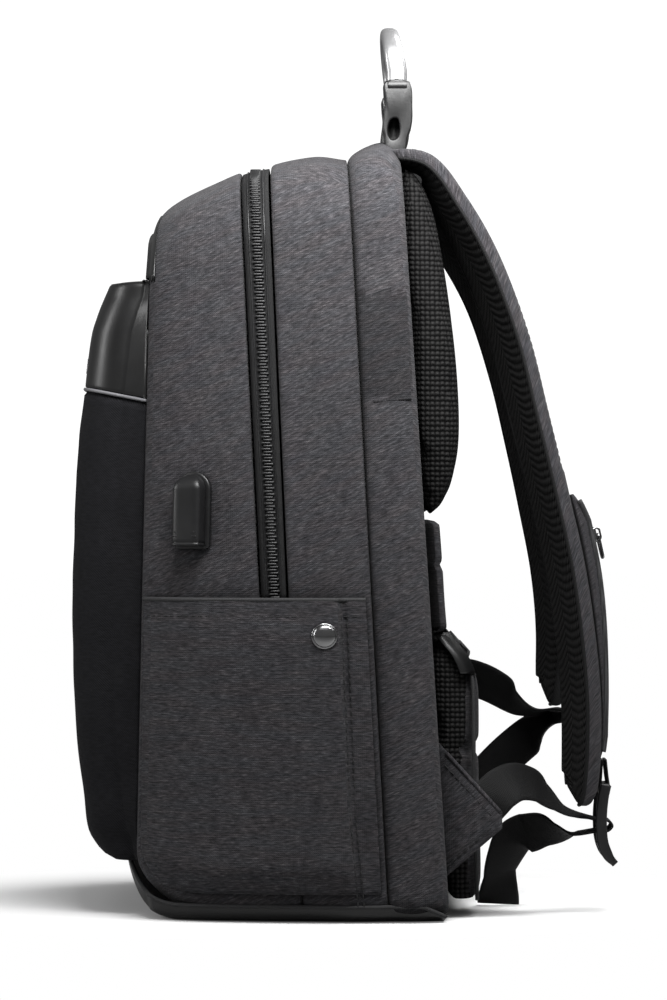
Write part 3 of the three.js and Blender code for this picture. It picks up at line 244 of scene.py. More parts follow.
def half_outline(half, bottom, top, inset):
    """Right half of a section's outline from the middle of its floor to the middle of its top, with
    the outward direction of each point."""
    half, bottom, top = half - inset, bottom + inset, top - inset
    low_corner = max(BOTTOM_CORNER - inset, MM)
    high_corner = max(TOP_CORNER - inset, MM)
    top_half = (half + inset) * TOP_TAPER - inset
    steps = RING_STEPS
    points = []
    for s in np.linspace(0, 1, steps["floor"], endpoint=False):
        points.append((s * (half - low_corner), bottom))
    for a in np.linspace(-90, 0, steps["bottom_arc"], endpoint=False):
        a = math.radians(a)
        points.append((half - low_corner + low_corner * math.cos(a),
                       bottom + low_corner + low_corner * math.sin(a)))
    for z in np.linspace(bottom + low_corner, SIDE_TOP, steps["upright"], endpoint=False):
        points.append((half, z))
    shoulder = top - TOP_ARCH - high_corner
    for z in np.linspace(SIDE_TOP, shoulder, steps["taper"], endpoint=False):
        share = (z - SIDE_TOP) / (shoulder - SIDE_TOP)
        points.append((half - (half - top_half) * share ** 1.5, z))
    for a in np.linspace(0, 90, steps["top_arc"], endpoint=False):
        a = math.radians(a)
        points.append((top_half - high_corner + high_corner * math.cos(a),
                       shoulder + high_corner * math.sin(a)))
    for s in np.linspace(1, 0, steps["top"]):
        points.append((s * (top_half - high_corner), top - TOP_ARCH * s ** 2))
    return np.array(points)


def body_ring(q, inset, low_q=None):
    """Ring of the body at row number q. Below the zip's end the ring may lie at low_q instead."""
    half, bottom, top = (float(catmull(column, q)) for column in (HALF, BOTTOM, TOP))
    right = half_outline(half, bottom, top, inset)
    z = right[:, 1]
    y = catmull(BASE_Y, q) + catmull(LEAN, q) * z
    x = right[:, 0]
    if low_q is not None:
        share = 1 - smooth_mix(z, ZIP_END - 7 * MM, ZIP_END - 2 * MM)
        y_low = catmull(BASE_Y, low_q) + catmull(LEAN, low_q) * z
        y = y + (y_low - y) * share
        x = x * (1 + (float(catmull(HALF, low_q)) / half - 1) * share)
    right = np.stack([x, y, z], axis=1)
    left = right[::-1][1:-1] * np.array([-1, 1, 1])
    return np.concatenate([right, left])


def roll_inset(distance, radius=SEAM_ROLL):
    gap = np.clip(radius - distance, 0, radius)
    return radius - math.sqrt(max(radius ** 2 - gap ** 2, 0))


def body_skin(name, first, last, low_last=None, steps=30, puff=1.2 * MM, front_roll=SEAM_ROLL,
              rear_roll=SEAM_ROLL, seed=1):
    """Skin of the body between two rows, rolled into its seams, with soft unevenness."""
    shares = 0.5 - 0.5 * np.cos(np.linspace(0, math.pi, steps))
    depth = float(catmull(BASE_Y, last) - catmull(BASE_Y, first))
    rings = []
    for share in shares:
        q = first + (last - first) * share
        low_q = None if low_last is None else first + (low_last - first) * share
        inset = roll_inset(share * depth, front_roll) + roll_inset((1 - share) * depth, rear_roll)
        inset -= puff * math.sin(math.pi * share) ** 0.8
        rings.append(body_ring(q, inset, low_q))
    rings = np.array(rings)
    outward = rings * np.array([1, 0, 1]) - np.array([0, 0, 0.22])
    outward[..., 1] = 0
    outward /= np.linalg.norm(outward, axis=2, keepdims=True)
    broad = wander(rings, (9, 22, 7), seed) * 0.9 * MM
    small = wander(rings, (26, 60, 16), seed + 3) * 0.35 * MM
    calm = np.sin(np.pi * shares)[:, None] ** 0.5
    rings = rings + outward * ((broad + small) * calm)[..., None]
    return cloth_uv(ring_object(name, rings, cap_steps=5))


# Materials

class Nodes:
    """Short calls for building a material's nodes."""

    def __init__(self, name):
        self.material = bpy.data.materials.new(name)
        self.material.use_nodes = True
        self.tree = self.material.node_tree
        self.shader = self.tree.nodes["Principled BSDF"]

    def add(self, kind, **values):
        node = self.tree.nodes.new(kind)
        for key, value in values.items():
            setattr(node, key, value)
        return node

    def join(self, out, into):
        self.tree.links.new(out, into)

    def coordinates(self, kind, scale, turn=(0, 0, 0)):
        vector = self.add("ShaderNodeTexCoord").outputs[kind]
        for socket, value in (("Rotation", turn), ("Scale", scale)):
            mapping = self.add("ShaderNodeMapping")
            mapping.inputs[socket].default_value = value
            self.join(vector, mapping.inputs["Vector"])
            vector = mapping.outputs["Vector"]
        return vector

    def noise(self, vector, scale=1.0, detail=2.0, roughness=0.5):
        node = self.add("ShaderNodeTexNoise")
        node.inputs["Scale"].default_value = scale
        node.inputs["Detail"].default_value = detail
        node.inputs["Roughness"].default_value = roughness
        self.join(vector, node.inputs["Vector"])
        return node.outputs["Fac"]

    def wave(self, vector, scale, direction="X", distortion=0.0):
        node = self.add("ShaderNodeTexWave", bands_direction=direction)
        node.inputs["Scale"].default_value = scale
        node.inputs["Distortion"].default_value = distortion
        self.join(vector, node.inputs["Vector"])
        return node.outputs["Fac"]

    def cells(self, vector, scale, feature="DISTANCE_TO_EDGE", randomness=0.0):
        node = self.add("ShaderNodeTexVoronoi", feature=feature)
        node.inputs["Scale"].default_value = scale
        node.inputs["Randomness"].default_value = randomness
        self.join(vector, node.inputs["Vector"])
        return node.outputs["Distance"]

    def math(self, operation, first, second):
        node = self.add("ShaderNodeMath", operation=operation)
        for socket, value in zip(node.inputs, (first, second)):
            if isinstance(value, (int, float)):
                socket.default_value = value
            else:
                self.join(value, socket)
        return node.outputs[0]

    def ramp(self, value, stops):
        node = self.add("ShaderNodeValToRGB")
        elements = node.color_ramp.elements
        while len(elements) < len(stops):
            elements.new(0.5)
        for element, (position, color) in zip(elements, stops):
            element.position = position
            element.color = (*color, 1) if len(color) == 3 else color
        self.join(value, node.inputs["Fac"])
        return node.outputs["Color"]

    def multiply(self, first, second, share=1.0):
        node = self.add("ShaderNodeMix", data_type="RGBA", blend_type="MULTIPLY")
        node.inputs["Factor"].default_value = share
        self.join(first, node.inputs["A"])
        self.join(second, node.inputs["B"])
        return node.outputs["Result"]

    def painted_crevice_shade(self, reach, dark=0.22):
        """Painted shade from ambient occlusion: white on open faces and darker in seams and corners."""
        node = self.add("ShaderNodeAmbientOcclusion", samples=6)
        node.inputs["Distance"].default_value = reach
        return self.ramp(node.outputs["AO"], [(0.35, (dark, dark, dark)), (0.92, (1, 1, 1))])

    def bump(self, height, strength, distance, previous=None):
        node = self.add("ShaderNodeBump")
        node.inputs["Strength"].default_value = strength
        node.inputs["Distance"].default_value = distance
        self.join(height, node.inputs["Height"])
        if previous is not None:
            self.join(previous, node.inputs["Normal"])
        return node.outputs["Normal"]

    def finish(self, color=None, roughness=None, normal=None, **values):
        names = {"metallic": "Metallic", "sheen": "Sheen Weight", "sheen_roughness": "Sheen Roughness",
                 "coat": "Coat Weight", "coat_roughness": "Coat Roughness", "specular": "Specular IOR Level"}
        if color is not None:
            self.join(color, self.shader.inputs["Base Color"])
        if isinstance(roughness, (int, float)):
            self.shader.inputs["Roughness"].default_value = roughness
        elif roughness is not None:
            self.join(roughness, self.shader.inputs["Roughness"])
        if normal is not None:
            self.join(normal, self.shader.inputs["Normal"])
        for key, value in values.items():
            self.shader.inputs[names[key]].default_value = value
        return self.material


def grey(value, tint=(1.0, 1.0, 1.03)):
    return tuple(value * t for t in tint)


MELANGE_THREADS = (170, 900, 1)         # streaks for each metre along and across the threads
WEAVE = 260.0


def melange(name, slant=0.0, light=1.0):
    """Grey melange cloth: fine long streaks over a plain weave, with painted shade in its seams and corners.
    """
    n = Nodes(name)
    streak_map = n.coordinates("UV", MELANGE_THREADS, (0, 0, -slant))
    fleck_map = n.coordinates("UV", tuple(value * 1.9 for value in MELANGE_THREADS), (0, 0, -slant))
    weave_map = n.coordinates("UV", (1, 1, 1))
    streaks = n.noise(streak_map, 1.0, 3.0, 0.62)
    flecks = n.noise(fleck_map, 1.0, 2.0, 0.7)
    cloud = n.noise(weave_map, 55.0, 4.0, 0.65)
    tone = n.math("ADD", n.math("MULTIPLY", streaks, 0.62), n.math("MULTIPLY", flecks, 0.38))
    color = n.ramp(tone, [
        (0.34, grey(0.014 * light, (1.0, 1.0, 1.06))), (0.48, grey(0.034 * light, (1.02, 1.0, 1.05))),
        (0.56, grey(0.052 * light, (1.03, 1.0, 1.05))), (0.70, grey(0.105 * light, (1.04, 1.0, 1.02))),
    ])
    color = n.multiply(color, n.ramp(cloud, [(0.32, grey(0.74)), (0.68, (1.0, 1.0, 1.0))]))
    tint = n.noise(streak_map, 0.16, 2.0)
    color = n.multiply(color, n.ramp(tint, [(0.38, (1.0, 0.955, 0.96)), (0.62, (0.95, 0.97, 1.0))]))
    # Painted shade: ambient occlusion darkens the cloth's colour in seams, corners and recesses.
    color = n.multiply(color, n.painted_crevice_shade(0.022))
    rough = n.ramp(cloud, [(0.2, grey(0.86, (1, 1, 1))), (0.8, grey(0.97, (1, 1, 1)))])
    warp = n.wave(weave_map, WEAVE, "X")
    weft = n.wave(weave_map, WEAVE, "Y")
    normal = n.bump(n.math("MULTIPLY", warp, weft), 0.35, 0.0004)
    normal = n.bump(tone, 0.35, 0.0005, normal)
    return n.finish(color, rough, normal, sheen=0.03, sheen_roughness=0.5, specular=0.1)


def twill(name):
    """Dark blue-black twill with a fine diagonal rib."""
    n = Nodes(name)
    place = n.coordinates("UV", (1, 1, 1))
    ribs = n.wave(n.coordinates("UV", (1, 1, 1), (0, 0, math.radians(45))), 300.0, "X")
    streaks = n.noise(n.coordinates("UV", (180, 900, 1)), 1.0, 2.0, 0.6)
    cloud = n.noise(place, 30.0, 3.0, 0.6)
    tone = n.math("ADD", n.math("MULTIPLY", ribs, 0.35), n.math("MULTIPLY", streaks, 0.65))
    color = n.ramp(tone, [(0.3, grey(0.004, (1, 1, 1.12))), (0.7, grey(0.015, (1, 1, 1.12)))])
    color = n.multiply(color, n.ramp(cloud, [(0.3, grey(0.82)), (0.7, (1, 1, 1))]))
    normal = n.bump(ribs, 0.3, 0.0004)
    return n.finish(color, 0.86, normal, sheen=0.02, sheen_roughness=0.45, specular=0.08)


def coated(name):
    """Smooth coated cloth with a faint grain and a satin gloss."""
    n = Nodes(name)
    place = n.coordinates("Object", (1, 1, 1))
    grain = n.cells(place, 900.0, "DISTANCE_TO_EDGE", 1.0)
    cloud = n.noise(place, 22.0, 4.0, 0.6)
    color = n.ramp(cloud, [(0.3, grey(0.003)), (0.7, grey(0.006))])
    rough = n.ramp(cloud, [(0.25, grey(0.30, (1, 1, 1))), (0.75, grey(0.42, (1, 1, 1)))])
    normal = n.bump(grain, 0.12, 0.0003)
    normal = n.bump(cloud, 0.25, 0.002, normal)
    return n.finish(color, rough, normal, specular=0.4, coat=0.08, coat_roughness=0.25)


def air_mesh(name, pitch, turn=(0, 0, 0)):
    """Black air mesh: small cells in rows, with tone and relief by the distance from their middles; the dark
    ground between the cells is partly the open weave and partly painted shade.
    """
    n = Nodes(name)
    place = n.coordinates("UV", (pitch, pitch, pitch * 0.62), turn)
    distance = n.cells(place, 1.0, "F1", 0.12)
    fluff = n.noise(n.coordinates("UV", (900, 900, 900)), 1.0, 2.0, 0.6)
    # Lighter cell middles over a near-black ground between them: partly the open weave, partly painted shade
    # in the sunk gaps.
    tone = n.ramp(distance, [(0.26, grey(0.022, (1.02, 1, 0.98))), (0.58, grey(0.0012))])
    color = n.multiply(tone, n.ramp(fluff, [(0.3, grey(0.7)), (0.7, (1, 1, 1))]))
    height = n.ramp(distance, [(0.1, (1, 1, 1)), (0.55, (0, 0, 0))])
    normal = n.bump(height, 0.9, 0.0012)
    return n.finish(color, 0.85, normal, sheen=0.01, sheen_roughness=0.5, specular=0.05)


def band_cloth(name, value, rib, kind="UV"):
    """Woven band such as webbing or zip tape, with fine ribs."""
    n = Nodes(name)
    place = n.coordinates(kind, (1, 1, 1))
    ribs = n.wave(place, rib, "X")
    cross = n.wave(place, rib * 0.8, "Y")
    fibres = n.noise(n.coordinates(kind, (1500, 1500, 1500)), 1.0, 2.0, 0.6)
    tone = n.math("ADD", n.math("MULTIPLY", ribs, 0.5), n.math("MULTIPLY", fibres, 0.5))
    color = n.ramp(tone, [(0.2, grey(value * 0.5)), (0.8, grey(value * 1.5))])
    normal = n.bump(n.math("MULTIPLY", ribs, cross), 0.5, 0.0004)
    return n.finish(color, 0.62, normal, sheen=0.01, sheen_roughness=0.4, specular=0.15)


def moulded(name, value):
    """Satin moulded plastic with a very fine texture."""
    n = Nodes(name)
    place = n.coordinates("Object", (1, 1, 1))
    grain = n.noise(place, 2600.0, 3.0, 0.6)
    cloud = n.noise(place, 60.0, 3.0, 0.6)
    color = n.ramp(cloud, [(0.3, grey(value * 0.85, (1, 1, 1.06))), (0.7, grey(value * 1.12, (1, 1, 1.06)))])
    rough = n.ramp(cloud, [(0.2, grey(0.34, (1, 1, 1))), (0.8, grey(0.46, (1, 1, 1)))])
    return n.finish(color, rough, n.bump(grain, 0.12, 0.0002), specular=0.35)


def metal(name, value, rough, metallic=1.0):
    """Polished or satin metal with faint handling marks."""
    n = Nodes(name)
    marks = n.noise(n.coordinates("Object", (40, 40, 40)), 6.0, 4.0, 0.7)
    color = n.ramp(marks, [(0.3, grey(value * 0.94, (1, 1, 1.01))), (0.7, grey(value, (1, 1, 1.01)))])
    roughness = n.ramp(marks, [(0.3, grey(rough[0], (1, 1, 1))), (0.75, grey(rough[1], (1, 1, 1)))])
    return n.finish(color, roughness, n.bump(marks, 0.01, 0.0003), metallic=metallic)


LOOKS = {
    "melange_side": melange("melange_side", slant=math.radians(22)),
    "melange_level": melange("melange_level", light=0.92),
    "melange_strap": melange("melange_strap", slant=math.radians(20)),
    "melange_wing": melange("melange_wing", slant=math.radians(35)),
    "melange_soft": melange("melange_soft", light=0.85),
    "melange_panel": melange("melange_panel", slant=math.radians(22), light=0.62),
    "twill": twill("twill"),
    "coated": coated("coated"),
    "air_mesh": air_mesh("air_mesh", 340.0),
    "strap_mesh": air_mesh("strap_mesh", 300.0, (0, 0, math.radians(45))),
    "brown_binding": band_cloth("brown_binding", 0.032, 420.0, "Object"),
    "zip_tape": band_cloth("zip_tape", 0.010, 520.0),
    "zip_coil": moulded("zip_coil", 0.007),
    "webbing": band_cloth("webbing", 0.006, 380.0),
    "binding": band_cloth("binding", 0.030, 420.0),
    "olive_tape": band_cloth("olive_tape", 0.055, 600.0, "Object"),
    "piping": moulded("piping", 0.15),
    "thread": band_cloth("thread", 0.02, 900.0, "Object"),
    "plastic": moulded("plastic", 0.007),
    "socket": moulded("socket", 0.006),
    "chrome": metal("chrome", 0.24, (0.14, 0.22)),
    "pale_metal": metal("pale_metal", 0.40, (0.3, 0.36), 0.8),
}


def dress(obj, look, slot, *nodes, body=BAG):
    """Gives a piece its look, lets it ride with its body and stand for CAD nodes; slot is not used."""
    if look is not None:
        obj.data.materials.clear()
        obj.data.materials.append(LOOKS[look])
    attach(obj, body)
    if nodes:
        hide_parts(*nodes)
    return obj


PANEL_LOW = 303 * MM             # darker panel on the sides of the laptop compartment
PANEL_HIGH = 364 * MM


def paint(obj, look):
    """Adds a look to a piece that is joined with others."""
    obj.data.materials.append(LOOKS[look])


def make_body():
    front = body_skin("main_front_skin", ROW["frontEdge"], ROW["zipFront"], ROW["zipRear"],
                      steps=44, front_roll=4.5 * MM, rear_roll=ZIP_ROLL, seed=1)
    dress(front, "melange_side", "melange_fabric", "main_front_shell")
    rear = body_skin("main_rear_skin", ROW["zipRear"], ROW["deepFront"] + 0.6, steps=34,
                     front_roll=ZIP_ROLL, rear_roll=DEEP_ROLL, seed=2)
    dress(rear, "melange_side", "melange_fabric", "main_rear_shell")
    laptop = body_skin("laptop_skin", ROW["laptopFront"] - 0.4, ROW["rearEdge"], steps=44, puff=1.8 * MM,
                       front_roll=DEEP_ROLL, rear_roll=4 * MM, seed=5)
    two_looks(laptop, "melange_side", "melange_panel",
              lambda f: PANEL_LOW < f.center.z < PANEL_HIGH and abs(f.normal.x) > 0.6)
    seams = []
    for side in (1, -1):
        z = PANEL_LOW
        line = [(side * (side_at(y, z) + 1.3 * MM), y, z + (y - back_plane(z)) * 0.1)
                for y in np.linspace(back_plane(z) - 25 * MM, back_plane(z) - 3.5 * MM, 24)]
        seams.append(tube("laptop_seam", line, 0.8 * MM, 8))
        paint(seams[-1], "melange_panel")
    laptop = joined("laptop_skin", [laptop, *seams])
    dress(laptop, None, "melange_fabric", "laptop_shell")


# Shared shapes

def grid_normals(grid):
    """Outward normals of a form's rings."""
    across = np.roll(grid, -1, 1) - np.roll(grid, 1, 1)
    normals = np.cross(across, np.gradient(grid, axis=0))
    normals /= np.maximum(np.linalg.norm(normals, axis=2, keepdims=True), 1e-9)
    outward = grid - grid.mean(axis=(0, 1))
    return normals if np.sum(normals * outward) > 0 else -normals


def pushed(grid, amounts):
    """The grid moved along its outward normals."""
    return grid + grid_normals(grid) * np.asarray(amounts)[..., None]


def route_frames(points, wides):
    """Unit directions along a route, across it and outward, for each of its points."""
    along = np.gradient(points, axis=0)
    along /= np.linalg.norm(along, axis=1, keepdims=True)
    wide = wides - along * np.sum(wides * along, axis=1, keepdims=True)
    wide /= np.linalg.norm(wide, axis=1, keepdims=True)
    return along, wide, np.cross(along, wide)


def swept(name, points, wides, sections, cap_steps=2):
    """A closed form along a route. sections has outlines of (across, outward) pairs."""
    _, wide, out = route_frames(points, wides)
    sections = np.asarray(sections)
    rings = (points[:, None] + wide[:, None] * sections[..., :1] + out[:, None] * sections[..., 1:])
    return ring_object(name, rings, cap_steps)


def box_outline(width, thickness, radius, steps=5):
    """Rounded rectangle round the origin."""
    outline = []
    for turn, (sx, sy) in zip((0, 90, 180, 270), ((1, 1), (-1, 1), (-1, -1), (1, -1))):
        for a in np.linspace(0, 90, steps):
            angle = math.radians(turn + a)
            outline.append((sx * (width / 2 - radius) + radius * math.cos(angle),
                            sy * (thickness / 2 - radius) + radius * math.sin(angle)))
    return np.array(outline)


def spaced(points, gap):
    """Points at even distances along a route, with their directions."""
    points = np.asarray(points, dtype=float)
    length = np.concatenate([[0], np.cumsum(np.linalg.norm(np.diff(points, axis=0), axis=1))])
    at = np.arange(gap / 2, length[-1], gap)
    places = np.stack([np.interp(at, length, points[:, k]) for k in range(3)], axis=1)
    ahead = np.stack([np.interp(at + 0.2 * gap, length, points[:, k]) for k in range(3)], axis=1)
    along = ahead - places
    norms = np.linalg.norm(along, axis=1, keepdims=True)
    good = norms[:, 0] > 1e-7
    return places[good], along[good] / norms[good]


def tube(name, points, radius, around=10, flat=1.0):
    """A round cord along a route."""
    points = np.asarray(points, dtype=float)
    up = np.tile(np.array([0.13, 0.21, 0.97]), (len(points), 1))
    angles = np.linspace(0, 2 * math.pi, around, endpoint=False)
    outline = np.stack([np.cos(angles) * radius, np.sin(angles) * radius * flat], axis=1)
    return swept(name, points, up, np.tile(outline, (len(points), 1, 1)), 1)


def beads(name, places, along, across, size, taper=0.72):
    """Many small rounded bars in one object. size is along, across and up."""
    vertices, faces = [], []
    up = np.cross(along, across)
    up /= np.linalg.norm(up, axis=1, keepdims=True)
    shell = [(-1, 0.0), (-0.6, 0.8), (0.6, 0.8), (1, 0.0), (0.6, -0.8), (-0.6, -0.8)]
    for place, a, c, u in zip(places, along, across, up):
        start = len(vertices)
        for side, share in ((-1, taper), (-0.8, 1), (0.8, 1), (1, taper)):
            for la, lu in shell:
                vertices.append(place + c * side * size[1] / 2 + a * la * share * size[0] / 2
                                + u * lu * share * size[2] / 2)
        for k in range(3):
            for i in range(6):
                j = (i + 1) % 6
                faces.append((start + k * 6 + i, start + k * 6 + j, start + k * 6 + 6 + j,
                              start + k * 6 + 6 + i))
        faces.append(tuple(start + i for i in range(6)))
        faces.append(tuple(start + 18 + i for i in reversed(range(6))))
    return turn_outward(make_object(name, vertices, faces))


def stitches(name, points, outward, length=3.0 * MM, gap=4.6 * MM, thick=0.75 * MM, shift=0.2 * MM):
    """A row of sewn stitches along a route on a surface that faces outward."""
    places, along = spaced(points, gap)
    outward = np.tile(np.asarray(outward, dtype=float), (len(places), 1))
    side = np.cross(outward, along)
    side /= np.linalg.norm(side, axis=1, keepdims=True)
    return beads(name, places + outward * shift, side, along, (thick, length, thick * 0.8), 0.5)


def lathe(name, profile, matrix, steps=64):
    """A turned form round local Z. profile has (radius, height) pairs."""
    rings = []
    for radius, height in profile:
        angles = np.linspace(0, 2 * math.pi, steps, endpoint=False)
        rings.append([tuple(matrix @ Vector((radius * math.cos(a), radius * math.sin(a),
                                             height))) for a in angles])
    return ring_object(name, rings, cap_steps=1)


def plate(name, outline, levels, matrix, cap_steps=2):
    """A flat piece from an outline, drawn in by each level's inset at its height."""
    outline = np.asarray(outline, dtype=float)
    ahead = np.roll(outline, -1, 0) - np.roll(outline, 1, 0)
    ahead /= np.linalg.norm(ahead, axis=1, keepdims=True)
    inward = np.stack([-ahead[:, 1], ahead[:, 0]], axis=1)
    rings = []
    for inset, height in levels:
        flat = outline + inward * inset
        rings.append([tuple(matrix @ Vector((x, y, height))) for x, y in flat])
    return ring_object(name, rings, cap_steps)


def pierced_faces(rows, n):
    """Faces of a flat piece with a hole: rows of n points round it, then as many round the hole."""
    faces = []
    for side in range(2):
        for r in range(rows - 1):
            for i in range(n):
                j, a = (i + 1) % n, (side * rows + r) * n
                faces.append((a + i, a + j, a + n + j, a + n + i))
    for r in (0, rows - 1):
        for i in range(n):
            j = (i + 1) % n
            faces.append((r * n + i, r * n + j, (rows + r) * n + j, (rows + r) * n + i))
    return faces


def mirror_copy(obj, name):
    twin = link(bpy.data.objects.new(name, obj.data.copy()))
    for vertex in twin.data.vertices:
        vertex.co.x = -vertex.co.x
    twin.data.flip_normals()
    return twin


def frame_matrix(origin, x_axis, z_axis):
    z = Vector(z_axis).normalized()
    x = (Vector(x_axis) - z * Vector(x_axis).dot(z)).normalized()
    y = z.cross(x)
    return Matrix(((x.x, y.x, z.x, origin[0]), (x.y, y.y, z.y, origin[1]), (x.z, y.z, z.z, origin[2]),
                   (0, 0, 0, 1)))


# Places on the body

def front_plane(z):
    return BASE_Y[0] + LEAN[0] * z


def back_plane(z):
    return BASE_Y[-1] + LEAN[-1] * z


Q_FINE = np.linspace(0, len(SECTIONS) - 1, 500)
BASE_FINE, LEAN_FINE, HALF_FINE, TOP_FINE = (catmull(c, Q_FINE) for c in (BASE_Y, LEAN, HALF, TOP))


def q_at(y, z):
    return float(np.interp(y, BASE_FINE + LEAN_FINE * z, Q_FINE))


def side_at(y, z):
    """Half the body's width at a place on its side."""
    q = q_at(y, z)
    half = float(np.interp(q, Q_FINE, HALF_FINE))
    if z <= SIDE_TOP:
        return half
    shoulder = float(np.interp(q, Q_FINE, TOP_FINE)) - TOP_ARCH - TOP_CORNER
    share = min((z - SIDE_TOP) / (shoulder - SIDE_TOP), 1)
    return half - half * (1 - TOP_TAPER) * share ** 1.5


# Zips

def zip_path(q, inset, z_low):
    """Route round the body at row q from one side over the top to the other."""
    ring = body_ring(q, inset)
    half = (len(ring) + 2) // 2
    order = list(range(0, half)) + list(range(half, len(ring)))
    route = ring[order]
    return route[route[:, 2] > z_low]


def make_zips():
    low, high = ROW["zipFront"] + 0.06, ROW["zipRear"] - 0.06
    rows = [zip_path(q, 2.1 * MM, ZIP_END - 3 * MM) for q in np.linspace(low, high, 9)]
    tape = grid_object("zip_tape_main", np.array(rows), 1.0 * MM)
    dress(tape, "zip_tape", "zip_tape", "main_zip_tape")
    middle = (low + high) / 2
    path = zip_path(middle, 1.0 * MM, ZIP_END - 2 * MM)
    places, along = spaced(path, 1.75 * MM)
    across = np.tile(np.array([0.0, 1.0, 0.0]), (len(places), 1))
    shift = places * 0
    shift[:, 1] = np.where(np.arange(len(places)) % 2, 0.5, -0.5) * MM
    teeth = beads("zip_coil_main", places + shift, along, across, (1.5 * MM, 5.2 * MM, 1.5 * MM))
    edges = [tube("zip_cord", zip_path(q, 1.5 * MM, ZIP_END - 2 * MM), 0.55 * MM, 6)
             for q in (middle - 0.27, middle + 0.27)]
    coil = joined("zip_coil_main", [teeth, *edges])
    dress(coil, "zip_coil", "zip_tape", "main_zip_coil")
    rows = [zip_path(q, 4.6 * MM, 0)
            for q in np.linspace(ROW["deepFront"] + 0.1, ROW["laptopFront"] - 0.1, 4)]
    hidden = grid_object("zip_tape_laptop", np.array(rows), 0.8 * MM)
    dress(hidden, "zip_tape", "zip_tape", "laptop_zip")


# Front pocket, yoke and panel

POCKET_TOP = BODY_HEIGHT - 85 * MM
POCKET_DEPTH = 44.5 * MM
POCKET_WIDTH = 226 * MM
POCKET_CORNER = 24 * MM
POCKET_SIDE_LEAN = 7 * MM
POCKET_CROWN = 2.5 * MM
SEAM_HEIGHT = POCKET_TOP - 71 * MM
SEAM_CLIMB = 0.2
POCKET_LEVELS = np.array([
    (0.088, 0.36, 0.93), (0.098, 0.52, 0.95), (0.116, 0.65, 0.965), (0.145, 0.74, 0.98),
    (0.225, 0.85, 0.99), (0.330, 0.94, 1.0), (0.480, 1.0, 1.0), (0.640, 0.99, 1.0),
    (0.745, 0.95, 0.995), (0.834, 0.90, 0.99), (0.911, 0.84, 0.975), (0.941, 0.78, 0.965),
    (0.968, 0.70, 0.95), (1.0, 0.58, 0.93),
])
POCKET_FINE = catmull(POCKET_LEVELS, np.linspace(0, len(POCKET_LEVELS) - 1, 300))
POCKET_COLUMNS = ([("side", s) for s in np.linspace(0, 1, 12, endpoint=False)]
                  + [("arc", s) for s in np.linspace(0, 1, 18, endpoint=False)]
                  + [("face", s) for s in np.linspace(0, 1, 36)])


def pocket_point(kind, share, z):
    """A point of the pocket's right half at a height."""
    depth, width = (float(np.interp(z / POCKET_TOP, POCKET_FINE[:, 0], POCKET_FINE[:, k])) for k in (1, 2))
    rear = front_plane(z)
    front = rear - depth * POCKET_DEPTH
    corner = min(POCKET_CORNER, depth * POCKET_DEPTH * 0.8)
    half = width * POCKET_WIDTH / 2
    front_half = half - POCKET_SIDE_LEAN * depth - corner
    if kind == "side":
        return (half + (front_half + corner - half) * share,
                rear + (front + POCKET_CROWN + corner - rear) * share, z)
    if kind == "arc":
        angle = share * math.pi / 2
        return (front_half + corner * math.cos(angle), front + POCKET_CROWN + corner * (1 - math.sin(angle)),
                z)
    return (front_half * (1 - share), front + POCKET_CROWN * (1 - share) ** 2, z)


def seam_height(kind, share, shift):
    z = SEAM_HEIGHT
    for _ in range(4):
        y = pocket_point(kind, share, z)[1]
        z = SEAM_HEIGHT + shift + SEAM_CLIMB * (front_plane(SEAM_HEIGHT) - y)
    return z


def pocket_grid(low_of, high_of, rows):
    """Rings of the pocket between two heights, which may differ from column to column."""
    grid = []
    for t in np.linspace(0, 1, rows):
        right = []
        for kind, share in POCKET_COLUMNS:
            low, high = low_of(kind, share), high_of(kind, share)
            right.append(pocket_point(kind, share, low + (high - low) * t))
        right = np.array(right)
        left = right[::-1][1:] * np.array([-1, 1, 1])
        grid.append(np.concatenate([right, left]))
    return np.array(grid)


def make_front_pocket():
    bottom = POCKET_LEVELS[0, 0] * POCKET_TOP
    seam_low = {column: seam_height(*column, -0.3 * MM) for column in POCKET_COLUMNS}
    seam_high = {column: seam_height(*column, 0.3 * MM) for column in POCKET_COLUMNS}
    grid = pocket_grid(lambda *c: bottom, lambda *c: seam_low[c], 84)
    t = np.linspace(0, 1, 84)
    span = SEAM_HEIGHT - bottom
    roll = np.array([roll_inset((1 - s) * span, 2.2 * MM) for s in t])[:, None]
    soft = wander(grid, (14, 14, 6), 11) * 1.3 * MM + wander(grid, (30, 30, 46), 12) * 0.45 * MM
    folds = np.sin(grid[..., 2] * 150 + wander(grid, (10, 10, 4), 13) * 3) * 0.8 * MM
    folds *= (1 - smooth_mix(grid[..., 2], 0.045, 0.11)) * smooth_mix(grid[..., 2], 0.034, 0.044)
    calm = smooth_mix(t, 0, 0.05)[:, None] * (1 - smooth_mix(t, 0.9, 1))[:, None]
    pocket = ring_object("front_pocket_cloth", pushed(grid, (soft + folds) * calm - roll), 4)
    dress(pocket, "twill", "twill_fabric", "front_pocket")
    grid = pocket_grid(lambda *c: seam_high[c], lambda *c: POCKET_TOP, 46)
    t = np.linspace(0, 1, 46)
    span = POCKET_TOP - SEAM_HEIGHT
    roll = np.array([roll_inset(s * span, 2.2 * MM) + roll_inset((1 - s) * span, 3.5 * MM)
                     for s in t])[:, None]
    soft = wander(grid, (12, 12, 9), 17) * 0.9 * MM * np.sin(np.pi * t)[:, None]
    yoke = ring_object("front_yoke_cloth", pushed(grid, soft - roll), 4)
    dress(yoke, "coated", "coated_fabric", "front_yoke")
    line = [pocket_point(*column, (seam_low[column] + seam_high[column]) / 2) for column in POCKET_COLUMNS]
    line = np.array(line)
    line = np.concatenate([line, line[::-1][1:] * np.array([-1, 1, 1])])
    piping = tube("yoke_piping_cord", line, 0.95 * MM)
    dress(piping, "piping", "piping", "yoke_piping")
    make_badge()


